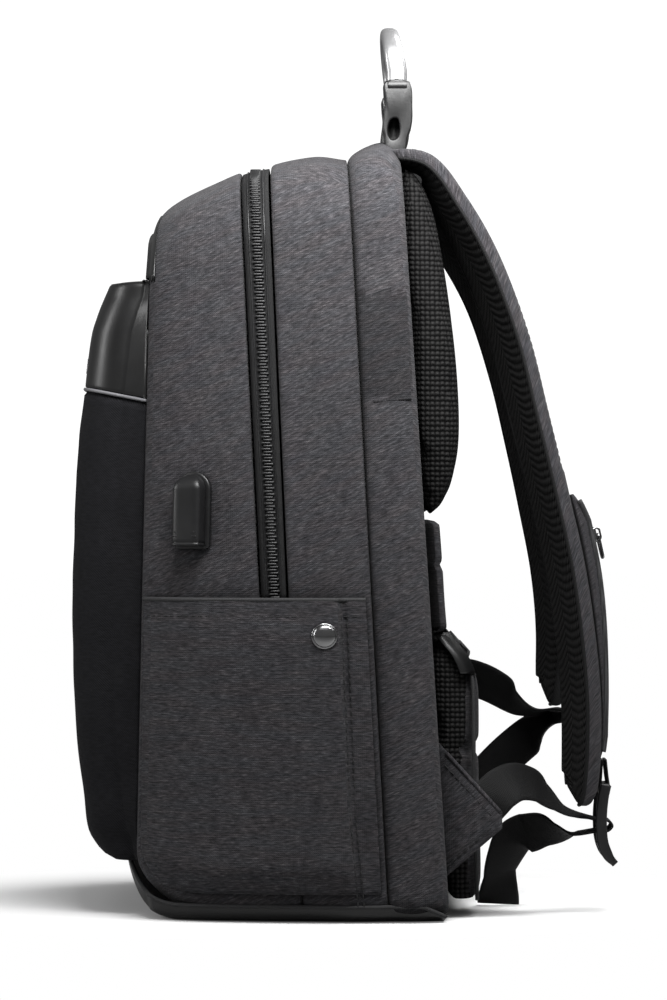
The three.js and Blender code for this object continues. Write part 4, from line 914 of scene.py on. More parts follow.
def make_badge():
    z = POCKET_TOP - 48 * MM
    face = Vector(pocket_point("face", 1.0, z))
    above = Vector(pocket_point("face", 1.0, z + 2 * MM))
    up = (above - face).normalized()
    normal = Vector((1, 0, 0)).cross(up).normalized()
    matrix = frame_matrix(face + normal * 0.1 * MM, (-1, 0, 0), normal)
    levels = [(0, 0), (0, 1.3 * MM), (0.12 * MM, 1.55 * MM), (0.4 * MM, 1.7 * MM), (1.1 * MM, 1.7 * MM),
              (1.25 * MM, 1.5 * MM), (1.5 * MM, 1.45 * MM)]
    badge = plate("badge_plain", box_outline(34 * MM, 9.5 * MM, 1.7 * MM, 8), levels, matrix)
    dress(badge, "chrome", "bright_metal", "badge_plate")


def make_front_panel():
    edge = POCKET_TOP - 2 * MM
    rows = []
    for q in np.linspace(0.75, 0, 12):
        ring = body_ring(q, -1.5 * MM + roll_inset(q * 8 * MM, 4 * MM) * 0.8)
        route = ring[ring[:, 2] > edge]
        rows.append(route)
    count = min(len(row) for row in rows)
    rows = [row[np.linspace(0, len(row) - 1, count).round().astype(int)] for row in rows]
    last = rows[-1]
    for k in np.linspace(0.96, 0, 26):
        x = last[:, 0] * k
        z = edge + (last[:, 2] - edge) * k
        y = front_plane(z) - 2.2 * MM
        rows.append(np.stack([x, y, z], axis=1))
    grid = np.array(rows)
    soft = wander(grid, (20, 20, 20), 23) * 0.8 * MM
    grid[..., 1] += soft
    panel = grid_object("front_panel_cloth", grid, 1.0 * MM)
    dress(panel, "coated", "coated_fabric", "front_upper_panel")


# Underside

BASE_CURVE = np.array([(-0.557, 0.97), (-0.522, 0.57), (-0.464, 0.20), (-0.393, 0.02), (-0.30, 0.0),
                       (-0.15, 0.0), (0.05, 0.0), (0.25, 0.0), (0.40, 0.0), (0.49, 0.0)])


def make_base():
    at = np.linspace(0, len(BASE_CURVE) - 1, 70)
    curve = catmull(BASE_CURVE, at)
    rings, edge = [], []
    for y_share, z_share in curve:
        y, z = y_share * BODY_DEPTH, max(z_share, 0) * FRONT_RISE
        half = float(np.interp(y, BASE_FINE, HALF_FINE)) if y > BASE_Y[0] else HALF[0] - 14 * MM
        if y < BASE_Y[1]:
            half = HALF[0] - 4 * MM - 60 * (BASE_Y[1] - y) ** 1.6
        right = [(0, 0.2), (half - 40 * MM, 0.0), (half - 12 * MM, 0.0), (half - 8 * MM, 0.5),
                 (half - 4.6 * MM, 2.2),
                 (half - 2.2 * MM, 5.2), (half - 1.0 * MM, 8.2), (half - 1.4 * MM, 10.4),
                 (half - 6 * MM, 11.5),
                 (half - 14 * MM, 7.5), (half - 40 * MM, 4.0), (0, 4.0)]
        full = min(1, 0.35 + max((curve[-1][0] - y_share) * BODY_DEPTH, 0) / (20 * MM))
        right = [(x, y, z + lift * MM * full) for x, lift in right]
        left = [(-x, yy, zz) for x, yy, zz in right[::-1][1:-1]]
        rings.append(right + left)
        edge.append((half - 0.7 * MM, y, z + 9.6 * MM * full))
    base = ring_object("base_cloth", rings, 3)
    modifier = base.modifiers.new("smooth", "SUBSURF")
    modifier.levels = 1
    apply_modifiers(base)
    edge = np.array(edge)
    cords = [tube("base_cord", edge * np.array([side, 1, 1]), 1.25 * MM, 10) for side in (1, -1)]
    paint(base, "coated")
    for cord in cords:
        paint(cord, "binding")
    base = joined("base_cloth", [base, *cords])
    dress(base, None, "twill_fabric", "base_panel")


# Side pockets and snaps

SIDE_POCKET_TOP = 187 * MM
SIDE_POCKET_PROUD = 10 * MM
SIDE_ROWS = np.array([
    (-0.480, 0.012, 0.28, 1.15), (-0.450, 0.012, 0.50, 0.80), (-0.400, 0.010, 0.75, 0.55),
    (-0.300, 0.005, 0.92, 0.43), (-0.150, 0, 1, 0.42), (0.070, 0, 1, 0.42), (0.170, -0.030, 0.85, 0.42),
    (0.226, -0.060, 0.28, 0.42), (0.290, -0.053, 0.26, 0.42),
])
SIDE_FINE = catmull(SIDE_ROWS, np.linspace(0, len(SIDE_ROWS) - 1, 400))
SNAP = {"y": 19.5 * MM, "z": 166 * MM, "radius": 7.5 * MM, "height": 3.6 * MM}
POCKET_SEAM = ((30.5, 184), (36.0, 60), (40.5, 12))      # y and z of the upright seam, in mm
HEM = 10 * MM


def side_pocket_x(y, z):
    """Outer face of the side pocket's cloth."""
    at = SIDE_FINE[:, 0] * BODY_DEPTH + SIDE_FINE[:, 1] * z
    proud = float(np.interp(y, at, SIDE_FINE[:, 2]))
    low = float(np.interp(y, at, SIDE_FINE[:, 3])) * FRONT_RISE
    rise = smooth_mix(z, low - 2 * MM, low + 20 * MM)
    mouth = 1 - 0.14 * smooth_mix(z, SIDE_POCKET_TOP - 26 * MM, SIDE_POCKET_TOP)
    return side_at(y, z) + 1.6 * MM + proud * SIDE_POCKET_PROUD * (0.12 + 0.82 * rise) * mouth


def groove(distance, width=1.6 * MM, depth=0.9 * MM):
    return depth * math.exp(-(distance / width) ** 2)


def make_side_pocket():
    seam_y, seam_z = np.array(POCKET_SEAM).T * MM
    order = np.argsort(seam_z)
    rings = []
    for t in np.linspace(0, 1, 110):
        row = catmull(SIDE_ROWS, t * (len(SIDE_ROWS) - 1))
        low = float(row[3]) * FRONT_RISE + 3 * MM
        outer, inner = [], []
        for z in np.linspace(low, SIDE_POCKET_TOP - 1.2 * MM, 64):
            y = row[0] * BODY_DEPTH + row[1] * z
            x = side_pocket_x(y, z)
            x += 0.9 * MM * noise.noise(Vector((y * 16, z * 11, 3.3))) * math.sin(math.pi * t)
            x += 0.5 * MM * noise.noise(Vector((y * 34, z * 48, 8.1)))
            x -= groove(y - np.interp(z, seam_z[order], seam_y[order]))
            x -= groove(z - (SIDE_POCKET_TOP - HEM), 1.2 * MM, 0.5 * MM)
            outer.append((x, y, z))
        wall = 2.2 * MM
        x, y, z = outer[-1]
        top = [(x - wall / 2 + wall / 2 * math.cos(a), y,
                z + 1.2 * MM * math.sin(a)) for a in np.linspace(0.4, math.pi - 0.4, 5)]
        open_depth = 46 * MM * math.sin(math.pi * min(max((t - 0.05) / 0.72, 0), 1)) + 2 * MM
        for z in np.linspace(SIDE_POCKET_TOP - 2 * MM, SIDE_POCKET_TOP - open_depth, 8):
            y = row[0] * BODY_DEPTH + row[1] * z
            inner.append((max(side_pocket_x(y, z) - wall, side_at(y, z) + 0.4 * MM), y, z))
        for z in (SIDE_POCKET_TOP - open_depth - 2 * MM, 0.5 * (low + SIDE_POCKET_TOP - open_depth), low):
            y = row[0] * BODY_DEPTH + row[1] * z
            inner.append((side_at(y, max(z, 8 * MM)) - 0.8 * MM, y, z))
        rings.append(outer + top + inner)
    right = cloth_uv(ring_object("side_pocket_cloth_right", rings, 2))
    hem = []
    for t in np.linspace(0, 1, 90):
        row = catmull(SIDE_ROWS, t * (len(SIDE_ROWS) - 1))
        y = row[0] * BODY_DEPTH + row[1] * SIDE_POCKET_TOP
        hem.append((side_pocket_x(y, SIDE_POCKET_TOP - 2 * MM) - 1.0 * MM, y, SIDE_POCKET_TOP - 0.5 * MM))
    binding = tube("side_pocket_edge", hem, 1.35 * MM, 10)
    rows = []
    for shift in (-1.7 * MM, 1.7 * MM):
        line = [(side_pocket_x(float(np.interp(z, seam_z[order], seam_y[order])) + shift, z) - 0.35 * MM,
                 float(np.interp(z, seam_z[order], seam_y[order])) + shift, z)
                for z in np.linspace(9 * MM, 178 * MM, 60)]
        rows.append(stitches("side_pocket_seam", line, (1, 0, 0)))
    line = [(p[0] + 0.9 * MM, p[1], SIDE_POCKET_TOP - HEM) for p in hem[3:-2]]
    rows.append(stitches("side_pocket_seam", line, (1, 0, 0)))
    paint(right, "melange_level")
    paint(binding, "binding")
    for row in rows:
        paint(row, "thread")
    right = joined("side_pocket_cloth_right", [right, binding, *rows])
    dress(right, None, "melange_fabric", "side_pocket_right")
    left = mirror_copy(right, "side_pocket_cloth_left")
    dress(left, None, "melange_fabric", "side_pocket_left")


def make_snaps():
    y, z = SNAP["y"], SNAP["z"]
    x = side_pocket_x(y, z)
    slope = (side_pocket_x(y + 4 * MM, z) - side_pocket_x(y - 4 * MM, z)) / (8 * MM)
    matrix = frame_matrix((x - 0.2 * MM, y, z), (0, 0, 1), (1, -slope, 0))
    r, h = SNAP["radius"], SNAP["height"]
    profile = [(r * 0.97, 0), (r, 0.5 * MM), (r * 0.985, 1.0 * MM), (r * 0.92, 1.25 * MM),
               (r * 0.88, 1.2 * MM)]
    for a in np.linspace(8, 88, 14):
        profile.append((r * 0.87 * math.cos(math.radians(a)),
                        1.0 * MM + (h - 1.0 * MM) * math.sin(math.radians(a))))
    right = lathe("snap_cap_right", profile, matrix)
    dress(right, "chrome", "bright_metal", "snap_right")
    dress(mirror_copy(right, "snap_cap_left"), "chrome", "bright_metal", "snap_left")


# Charging port

PORT = {"width": 22 * MM, "height": 45 * MM, "proud": 12 * MM, "y": -56 * MM, "z": 238 * MM}


def arch_outline(width, height, steps=24):
    radius = width / 2
    outline = []
    for a in np.linspace(0, math.pi, steps):
        outline.append((radius * math.cos(a), height / 2 - radius + radius * math.sin(a)))
    corner = 2.2 * MM
    for centre, first in ((-radius + corner, 180), (radius - corner, 270)):
        for a in np.linspace(first, first + 90, 5):
            outline.append((centre + corner * math.cos(math.radians(a)),
                            -height / 2 + corner + corner * math.sin(math.radians(a))))
    return np.array(outline)


def port_ring(half, low, high, z, square=0.45):
    """Outline of the port at a height: flat against the bag and rounded outward."""
    ring = []
    for a in np.linspace(0, 2 * math.pi, 64, endpoint=False):
        c, s = math.cos(a), math.sin(a)
        out = max(s, 0) ** square if s > 0 else -abs(s) ** square
        ring.append((half * math.copysign(abs(c) ** square, c), z, (low + high) / 2 + out * (high - low) / 2))
    return ring


def make_port():
    y, z = PORT["y"], PORT["z"]
    slope = (side_at(y + 12 * MM, z) - side_at(y - 12 * MM, z)) / (24 * MM)
    matrix = frame_matrix((side_at(y, z) + 0.4 * MM, y, z), (slope, 1, 0), (1, -slope - 0.1, 0.06))
    w, h, proud = PORT["width"], PORT["height"], PORT["proud"]
    flange = plate("port", arch_outline(w, h),
                   [(0, 0), (0, 1.2 * MM), (0.3 * MM, 1.8 * MM), (0.9 * MM, 2.1 * MM),
                                                (3 * MM, 2.2 * MM)], matrix)
    half, foot = w / 2 - 2.1 * MM, -h / 2 + 1.6 * MM
    crown = h / 2 - 1.8 * MM
    rings = [port_ring(6.0 * MM, 4.6 * MM, 8.8 * MM, foot + 9 * MM, 0.2),
             port_ring(6.2 * MM, 4.4 * MM, 9.0 * MM, foot, 0.2),
             port_ring(half - 0.4 * MM, 1 * MM, proud - 0.2 * MM, foot - 0.1 * MM),
             port_ring(half, 1 * MM, proud + 0.2 * MM, foot + 0.3 * MM),
             port_ring(half, 1 * MM, proud + 0.2 * MM, foot + 1.3 * MM),
             port_ring(half - 0.3 * MM, 1 * MM, proud - 0.3 * MM, foot + 1.6 * MM),
             port_ring(half - 0.3 * MM, 1 * MM, proud - 0.3 * MM, foot + 2.0 * MM)]
    for s in np.linspace(0, 1, 40):
        height = foot + 2.3 * MM + (crown - foot - 2.35 * MM) * (1 - (1 - s) ** 1.6)
        left = crown - height
        arch = math.sqrt(max(1 - (1 - min(left / (half * 1.1), 1)) ** 2, 0.0004))
        dome = math.sqrt(max(1 - (1 - min(left / (9 * MM), 1)) ** 2, 0.0004))
        rings.append(port_ring(half * arch, 1 * MM, 1 * MM + (proud - 1 * MM) * dome, height))
    rings = [[tuple(matrix @ Vector(p)) for p in ring] for ring in rings]
    body = ring_object("port_body", rings, 3)
    tongue = plate("port_tongue", box_outline(9 * MM, 1.6 * MM, 0.4 * MM),
                   [(0, 0), (0, 7 * MM), (0.3 * MM, 7.3 * MM)],
                   matrix @ Matrix.Translation((0, foot + 8.4 * MM,
                                                6.7 * MM)) @ Matrix.Rotation(math.radians(90), 4, "X"))
    dots = []
    for row, shift in ((0, 5.4 * MM), (1, 7.8 * MM)):
        for k in range(9 - row):
            across = (k - (8 - row) / 2) * 1.75 * MM
            place = matrix @ Matrix.Translation((across, foot + shift, proud - 0.5 * MM))
            dots.append(lathe("dot", [(0.52 * MM, 0), (0.52 * MM, 0.42 * MM)], place, 12))
    for piece in (flange, body):
        paint(piece, "plastic")
    for piece in (tongue, *dots):
        paint(piece, "socket")
    port = joined("charging_port", [flange, body, tongue, *dots])
    dress(port, None, "moulded_plastic", "usb_port")


# Pads on the back

PADS = {
    "upper": {
        "width": 236 * MM, "thickness": 24 * MM, "bottom": 232 * MM, "top": BODY_HEIGHT - 12 * MM,
        "rows": [(0.00, 0.10, 0.88), (0.04, 0.45, 0.93), (0.11, 0.72, 0.97), (0.22, 0.92, 1.00),
                 (0.38, 0.97, 1.00),
                 (0.55, 0.92, 0.99), (0.75, 0.77, 0.96), (0.88, 0.60, 0.91), (0.96, 0.32, 0.86),
                 (1.00, 0.08, 0.82)],
    },
    "lumbar": {
        "width": 224 * MM, "thickness": 24 * MM, "bottom": 6 * MM, "top": 167 * MM,
        "rows": [(0.00, 0.78, 0.96), (0.20, 0.82, 0.99), (0.45, 0.88, 1.00), (0.70, 0.98, 1.00),
                 (0.82, 1.00, 0.99),
                 (0.90, 0.84, 0.98), (0.955, 0.58, 0.96), (1.00, 0.36, 0.94)],
    },
}


def pad_ring(pad, rise, shrink):
    rows = np.array(pad["rows"])
    fine = catmull(rows, np.linspace(0, len(rows) - 1, 120))
    depth = float(np.interp(rise, fine[:, 0], fine[:, 1])) * pad["thickness"] - shrink
    half = float(np.interp(rise, fine[:, 0], fine[:, 2])) * pad["width"] / 2 - shrink
    z = pad["bottom"] + (pad["top"] - pad["bottom"]) * rise
    rear = back_plane(z) + 0.4 * MM
    round_ = min(max(depth, 1 * MM) * 0.8, half * 0.5)
    depth = max(depth, 1.2 * MM)
    right = [(s * half, rear, z) for s in np.linspace(0, 1, 22, endpoint=False)]
    right += [(half, rear + s * (depth - round_), z) for s in np.linspace(0, 1, 5, endpoint=False)]
    for a in np.linspace(0, 90, 12, endpoint=False):
        angle = math.radians(a)
        right.append((half - round_ + round_ * math.cos(angle),
                      rear + depth - round_ + round_ * math.sin(angle), z))
    right += [((half - round_) * s, rear + depth, z) for s in np.linspace(1, 0, 24)]
    left = [(-x, y, zz) for x, y, zz in right[::-1][1:-1]]
    return right + left


def pad_form(name, pad, shrink, steps=60):
    margin = shrink / (pad["top"] - pad["bottom"])
    rises = margin + (0.5 - 0.5 * np.cos(np.linspace(0, math.pi, steps))) * (1 - 2 * margin)
    return ring_object(name, [pad_ring(pad, rise, shrink) for rise in rises], 6)


def swell(obj, pressure=4.0, cap=4 * MM, voxel=5 * MM):
    """Padded cloth: a copy of the form is remeshed, blown up a little as cloth and kept within cap."""
    remesh = obj.modifiers.new("remesh", "REMESH")
    remesh.mode = "VOXEL"
    remesh.voxel_size = voxel
    apply_modifiers(obj)
    start = np.array([v.co[:] for v in obj.data.vertices])
    cloth = obj.modifiers.new("cloth", "CLOTH")
    settings = cloth.settings
    settings.use_pressure = True
    settings.uniform_pressure_force = pressure
    settings.quality = 5
    settings.mass = 0.3
    settings.tension_stiffness = settings.compression_stiffness = 15
    settings.bending_stiffness = 0.6
    settings.effector_weights.gravity = 0
    for frame_number in range(1, 21):
        bpy.context.scene.frame_set(frame_number)
    evaluated = obj.evaluated_get(bpy.context.evaluated_depsgraph_get())
    end = np.array([v.co[:] for v in evaluated.data.vertices])
    bpy.context.scene.frame_set(1)
    obj.modifiers.clear()
    move = end - start
    size = np.linalg.norm(move, axis=1, keepdims=True)
    move *= np.minimum(1, cap / np.maximum(size, 1e-9))
    for vertex, place in zip(obj.data.vertices, start + move):
        vertex.co = place
    modifier = obj.modifiers.new("smooth", "SUBSURF")
    modifier.levels = 1
    apply_modifiers(obj)
    for polygon in obj.data.polygons:
        polygon.use_smooth = True
    return obj


def press(obj, channels, depth, width):
    """Sewn channels pressed into a pad. channels are functions that give a distance for a point."""
    for vertex in obj.data.vertices:
        sink = max(depth * math.exp(-(channel(vertex.co) / width) ** 2) for channel in channels)
        rear = back_plane(vertex.co.z)
        share = min(max((vertex.co.y - rear) / (8 * MM), 0), 1)
        vertex.co.y -= sink * share


def two_looks(obj, first, second, test):
    obj.data.materials.clear()
    obj.data.materials.append(LOOKS[first])
    obj.data.materials.append(LOOKS[second])
    for polygon in obj.data.polygons:
        polygon.material_index = 1 if test(polygon) else 0


def make_upper_pad():
    pad = PADS["upper"]
    obj = swell(pad_form("upper_back_mesh", pad, 2.2 * MM))
    press(obj, [lambda p: p.x, lambda p: abs(p.x) - 62 * MM * (0.7 + 0.9 * (p.z - 0.232))], 5 * MM, 4.5 * MM)
    cloth_uv(obj)
    dress(obj, "air_mesh", "air_mesh", "upper_back_pad")


def make_back_band():
    low, high = 167.4 * MM, 231.6 * MM
    rings = []
    for t in np.linspace(0, 1, 34):
        z = low + (high - low) * t
        inset = roll_inset(t * (high - low), 3 * MM) + roll_inset((1 - t) * (high - low), 3 * MM)
        half, depth = 113.3 * MM - inset, 9 * MM - inset * 0.9 - groove(z - 206 * MM, 2 * MM, 1.5 * MM)
        rear = back_plane(z) + 0.4 * MM
        right = [(s * half, rear, z) for s in np.linspace(0, 1, 16, endpoint=False)]
        for a in np.linspace(0, 90, 10, endpoint=False):
            angle = math.radians(a)
            right.append((half - 4 * MM + 4 * MM * math.cos(angle),
                          rear + depth - 4 * MM + 4 * MM * math.sin(angle), z))
        right += [((half - 4 * MM) * s, rear + depth, z) for s in np.linspace(1, 0, 26)]
        rings.append(right + [(-x, y, zz) for x, y, zz in right[::-1][1:-1]])
    grid = np.array(rings)
    grid[..., 1] += wander(grid, (18, 30, 40), 31) * 0.5 * MM
    band = cloth_uv(ring_object("back_band_cloth", grid, 2))
    dress(band, "melange_soft", "melange_fabric", "back_band")


def lumbar_front(rise):
    rows = np.array(PADS["lumbar"]["rows"])
    fine = catmull(rows, np.linspace(0, len(rows) - 1, 120))
    depth = float(np.interp(rise, fine[:, 0], fine[:, 1])) * PADS["lumbar"]["thickness"]
    z = PADS["lumbar"]["bottom"] + (PADS["lumbar"]["top"] - PADS["lumbar"]["bottom"]) * rise
    half = float(np.interp(rise, fine[:, 0], fine[:, 2])) * PADS["lumbar"]["width"] / 2
    return back_plane(z) + 0.4 * MM + depth, z, half


def make_lumbar():
    pad = PADS["lumbar"]
    obj = swell(pad_form("lumbar_cloth", pad, 2.0 * MM))
    press(obj, [lambda p: p.z - 58 * MM, lambda p: p.z - 98 * MM], 3.5 * MM, 4 * MM)
    cloth_uv(obj)
    two_looks(obj, "air_mesh", "melange_soft", lambda f: f.normal.y > 0.62 and f.center.z < 143 * MM)
    grid = []
    for rise in np.linspace(0.845, 0.992, 16):
        y, z, half = lumbar_front(rise)
        grid.append([((half - 2 * MM) * s, y + 0.9 * MM - 9 * MM * smooth_mix(abs(s), 0.93, 1.0),
                      z + 0.4 * MM) for s in np.linspace(-1, 1, 60)])
    trim = grid_object("lumbar_trim", grid, 0.9 * MM)
    paint(trim, "coated")
    y, z, half = lumbar_front(0.93)
    line = np.array([((half - 16 * MM) * s, y + 2.1 * MM, z + 1.4 * MM) for s in np.linspace(-1, 1, 80)])
    places, along = spaced(line, 1.8 * MM)
    teeth = beads("lumbar_teeth", places, along, np.tile((0.0, -0.7, 0.7), (len(places), 1)),
                  (1.1 * MM, 4.8 * MM, 1.4 * MM))
    paint(teeth, "zip_coil")
    tapes = []
    for shift in (-4.2 * MM, 4.2 * MM):
        tape = tube("lumbar_tape", line + np.array([0, -0.7 * shift - 0.6 * MM, 0.7 * shift - 0.6 * MM]),
                    2.2 * MM, 8, 0.4)
        paint(tape, "olive_tape")
        tapes.append(tape)
    zipper = joined("lumbar_zip_line", [teeth, *tapes])
    dress(zipper, None, "zip_tape", "lumbar_zip")
    edge = []
    for rise in np.linspace(0.02, 0.84, 50):
        y, z, half = lumbar_front(rise)
        edge.append((half - 9.5 * MM, y - 1.6 * MM, z))
    top = [((edge[-1][0]) * s, lumbar_front(0.84)[0] + 0.3 * MM,
            lumbar_front(0.84)[1]) for s in np.linspace(0.98, -0.98, 60)]
    cord = tube("lumbar_cord", edge + top + [(-x, y, z) for x, y, z in edge[::-1]], 1.2 * MM, 8)
    paint(cord, "binding")
    obj = joined("lumbar_cloth", [obj, trim, cord])
    dress(obj, None, "air_mesh", "lumbar_pad")


# Handle

HANDLE = {"span": 104 * MM, "top": BODY_HEIGHT + 73 * MM, "depth": 14 * MM, "thickness": 9 * MM,
          "tab_y": 62.5 * MM,
          "foot": BODY_HEIGHT + 42 * MM, "tab_width": 22 * MM}
TAB_OUTLINE = [(-0.40, -0.1), (-0.54, 0.22), (-0.62, 0.38), (-0.52, 0.68), (-0.52, 1), (0.52, 1),
               (0.66, 0.62),
               (0.62, 0.38), (0.44, 0.2), (0.25, -0.1)]
TAB_HOLE = [(-0.38, 0.30), (-0.28, 0.46), (0.02, 0.48), (0.12, 0.34), (0.0, 0.22), (-0.25, 0.20)]


def closed_curve(points, count):
    points = np.array(list(points) * 3, dtype=float)
    third = len(points) // 3
    return catmull(points, np.linspace(third, 2 * third, count, endpoint=False))


def make_handle():
    low, foot = HANDLE["foot"] - 12 * MM, HANDLE["foot"]
    rise = HANDLE["top"] - HANDLE["thickness"] / 2 - foot
    angles = np.linspace(0, math.pi, 90)
    up = np.sin(angles) ** 0.6 * rise
    points = np.stack([-np.cos(angles) * HANDLE["span"] / 2, HANDLE["tab_y"] - up * 0.16, foot + up], axis=1)
    legs = np.stack([[-HANDLE["span"] / 2, HANDLE["tab_y"], z]
                     for z in np.linspace(low, foot, 8, endpoint=False)])
    points = np.concatenate([legs, points, (legs * np.array([-1, 1, 1]))[::-1]])
    angle = np.linspace(0, 2 * math.pi, 40, endpoint=False)

    def square(value):
        return np.sign(value) * np.abs(value) ** 0.75

    outline = np.stack([square(np.cos(angle)) * HANDLE["depth"] / 2,
                        square(np.sin(angle)) * HANDLE["thickness"] / 2], axis=1)
    slim = 0.88 - 0.14 * smooth_mix(points[:, 2], foot, HANDLE["top"])
    sections = outline[None] * np.stack([slim, np.ones_like(slim)], axis=1)[:, None]
    grip = swept("handle_arch", points, np.tile((0.0, 1.0, 0.0), (len(points), 1)), sections)
    dress(grip, "pale_metal", "pale_metal", "handle_grip")
    crown = BODY_HEIGHT - 4.5 * MM
    neck = foot - 7 * MM
    outer, hole = (closed_curve([(HANDLE["tab_y"] + y * HANDLE["depth"],
                                  crown - 3 * MM + z * (neck - crown + 3 * MM)) for y, z in table], 96)
                   for table in (TAB_OUTLINE, TAB_HOLE))
    centre = hole.mean(axis=0)
    hole = hole[np.argsort(np.arctan2(hole[:, 1] - centre[1], hole[:, 0] - centre[0]))]
    loop = []
    for point in hole:
        direction = (point - centre) / np.linalg.norm(point - centre)
        loop.append(ray_to(outer, centre, direction))
    outer = np.array(loop)
    tabs = []
    middle, half = HANDLE["span"] / 2, HANDLE["tab_width"] / 2
    shares = [(-half, 1.2), (-half + 0.15 * MM, 0.6), (-half + 0.8 * MM, 0.1), (-half + 2 * MM, 0.0)]
    shares += [(-x, inset) for x, inset in shares[::-1]]
    vertices = []
    for ring, sign in ((outer, 1), (hole, -1)):
        for x, inset in shares:
            for point in ring:
                direction = (centre - point) / np.linalg.norm(centre - point)
                y, z = point + direction * inset * MM * sign
                vertices.append((middle + x, y, z))
    right = turn_outward(make_object("handle_fold_right", vertices, pierced_faces(len(shares), len(outer))))
    collar = plate("handle_collar",
                   box_outline(HANDLE["tab_width"] + 0.6 * MM, 1.1 * HANDLE["depth"], 3 * MM),
                   [(0.6 * MM, -5 * MM), (0.1 * MM, -4.4 * MM), (0, -0.6 * MM), (0.7 * MM, 0)],
                   frame_matrix((middle, HANDLE["tab_y"] + 0.2 * MM, neck + 0.6 * MM), (1, 0, 0), (0, 0, 1)))
    steps = np.linspace(-1, 1, 8)
    reach = np.abs(hole - centre).max(axis=0) + 2 * MM
    inlay = grid_object("handle_inlay",
                        [[(middle - 6 * MM + 2 * MM * abs(u), centre[0] + u * reach[0],
                           centre[1] + v * reach[1])
                                          for u in steps] for v in steps], 1.2 * MM)
    right = joined("handle_fold_right", [right, collar, inlay])
    dress(right, "coated", "coated_fabric", "handle_tab_right")
    dress(mirror_copy(right, "handle_fold_left"), "coated", "coated_fabric", "handle_tab_left")


def ray_to(loop, centre, direction):
    """Where a ray from inside a closed loop meets it."""
    best = None
    for a, b in zip(loop, np.roll(loop, -1, 0)):
        edge = b - a
        determinant = direction[0] * -edge[1] + direction[1] * edge[0]
        if abs(determinant) < 1e-12:
            continue
        delta = a - centre
        t = (delta[0] * -edge[1] + delta[1] * edge[0]) / determinant
        u = (direction[0] * delta[1] - direction[1] * delta[0]) / determinant
        if t > 0 and -1e-6 <= u <= 1 + 1e-6 and (best is None or t < best):
            best = t
    return centre + direction * (best or 5 * MM)


# Straps

STRAP_WIDTH = 65 * MM
STRAP_THICKNESS = 11 * MM
STRAP_TURN = math.radians(12)
STRAP_ACROSS = np.array([-math.cos(STRAP_TURN), -math.sin(STRAP_TURN), 0.0])
STRAP_POCKET = {"from": 6, "to": 10, "thickness": 8.5 * MM, "margin": 0.05}
STRAP_ZIP = {"width": 8 * MM, "edge": 5 * MM, "thickness": 1.2 * MM}

# Right edge of each strap's inner face: x, y and z as shares of the body's width, depth and height,
# then width and thickness as shares of the strap's own
STRAPS = {
    "right": [
        (0.33, 0.30, 0.970, 1, 0.6), (0.34, 0.425, 0.958, 1, 0.9), (0.34, 0.525, 0.905, 1, 1),
        (0.345, 0.620, 0.836, 1, 1), (0.35, 0.712, 0.738, 1, 1), (0.355, 0.773, 0.64, 0.98, 1),
        (0.36, 0.8362, 0.535, 0.96, 1), (0.365, 0.8852, 0.445, 0.93, 1), (0.37, 0.916, 0.355, 0.9, 1),
        (0.37, 0.9323, 0.275, 0.86, 1), (0.37, 0.931, 0.205, 0.82, 1), (0.365, 0.9235, 0.16, 0.76, 0.9),
        (0.355, 0.9173, 0.14, 0.6, 0.55),
    ],
    "left": [
        (-0.12, 0.30, 0.970, 1, 0.6), (-0.12, 0.425, 0.955, 1, 0.9), (-0.12, 0.535, 0.885, 1, 1),
        (-0.125, 0.6557, 0.8, 1, 1), (-0.13, 0.7383, 0.703, 1, 1), (-0.135, 0.7934, 0.609, 0.98, 1),
        (-0.14, 0.8409, 0.515, 0.95, 1), (-0.15, 0.876, 0.435, 0.91, 1), (-0.155, 0.891, 0.36, 0.87, 1),
        (-0.16, 0.886, 0.3, 0.82, 1), (-0.165, 0.876, 0.268, 0.74, 0.9), (-0.175, 0.8684, 0.252, 0.58, 0.55),
    ],
}


def centripetal(points, at):
    """A smooth curve through points that are unevenly far apart."""
    points = np.asarray(points, dtype=float)
    result = []
    for value in np.atleast_1d(at):
        i = min(int(value), len(points) - 2)
        t = value - i
        p1, p2 = points[i], points[i + 1]
        p0 = points[i - 1] if i > 0 else 2 * p1 - p2
        p3 = points[i + 2] if i + 2 < len(points) else 2 * p2 - p1
        d0, d1, d2 = (max(np.linalg.norm(b - a), 1e-6) ** 0.5 for a, b in ((p0, p1), (p1, p2), (p2, p3)))
        t1 = ((p1 - p0) / d0 - (p2 - p0) / (d0 + d1) + (p2 - p1) / d1) * d1
        t2 = ((p2 - p1) / d1 - (p3 - p1) / (d1 + d2) + (p3 - p2) / d2) * d1
        result.append(p1 + t1 * t + (-3 * p1 + 3 * p2 - 2 * t1 - t2) * t ** 2
                      + (2 * p1 - 2 * p2 + t1 + t2) * t ** 3)
    return np.array(result)


def strap_frames(side, start=0, end=None, per_row=11):
    """Places, directions, width and thickness along a strap."""
    rows = np.array(STRAPS[side])
    end = len(rows) - 1 if end is None else end
    at = np.linspace(start, end, int((end - start) * per_row) + 1)
    places = centripetal(rows[:, :3] * np.array([BODY_WIDTH, BODY_DEPTH, BODY_HEIGHT]), at)
    _, wide, out = route_frames(places, np.tile(STRAP_ACROSS, (len(places), 1)))
    width = np.interp(at, range(len(rows)), rows[:, 3]) * STRAP_WIDTH
    thick = np.interp(at, range(len(rows)), rows[:, 4]) * STRAP_THICKNESS
    return at, places, wide, out, width, thick


def strap_points(frames, across, height):
    """Points on a strap. across and height have one row for each station."""
    _, places, wide, out, _, _ = frames
    return places[:, None] + wide[:, None] * across[..., None] + out[:, None] * height[..., None]


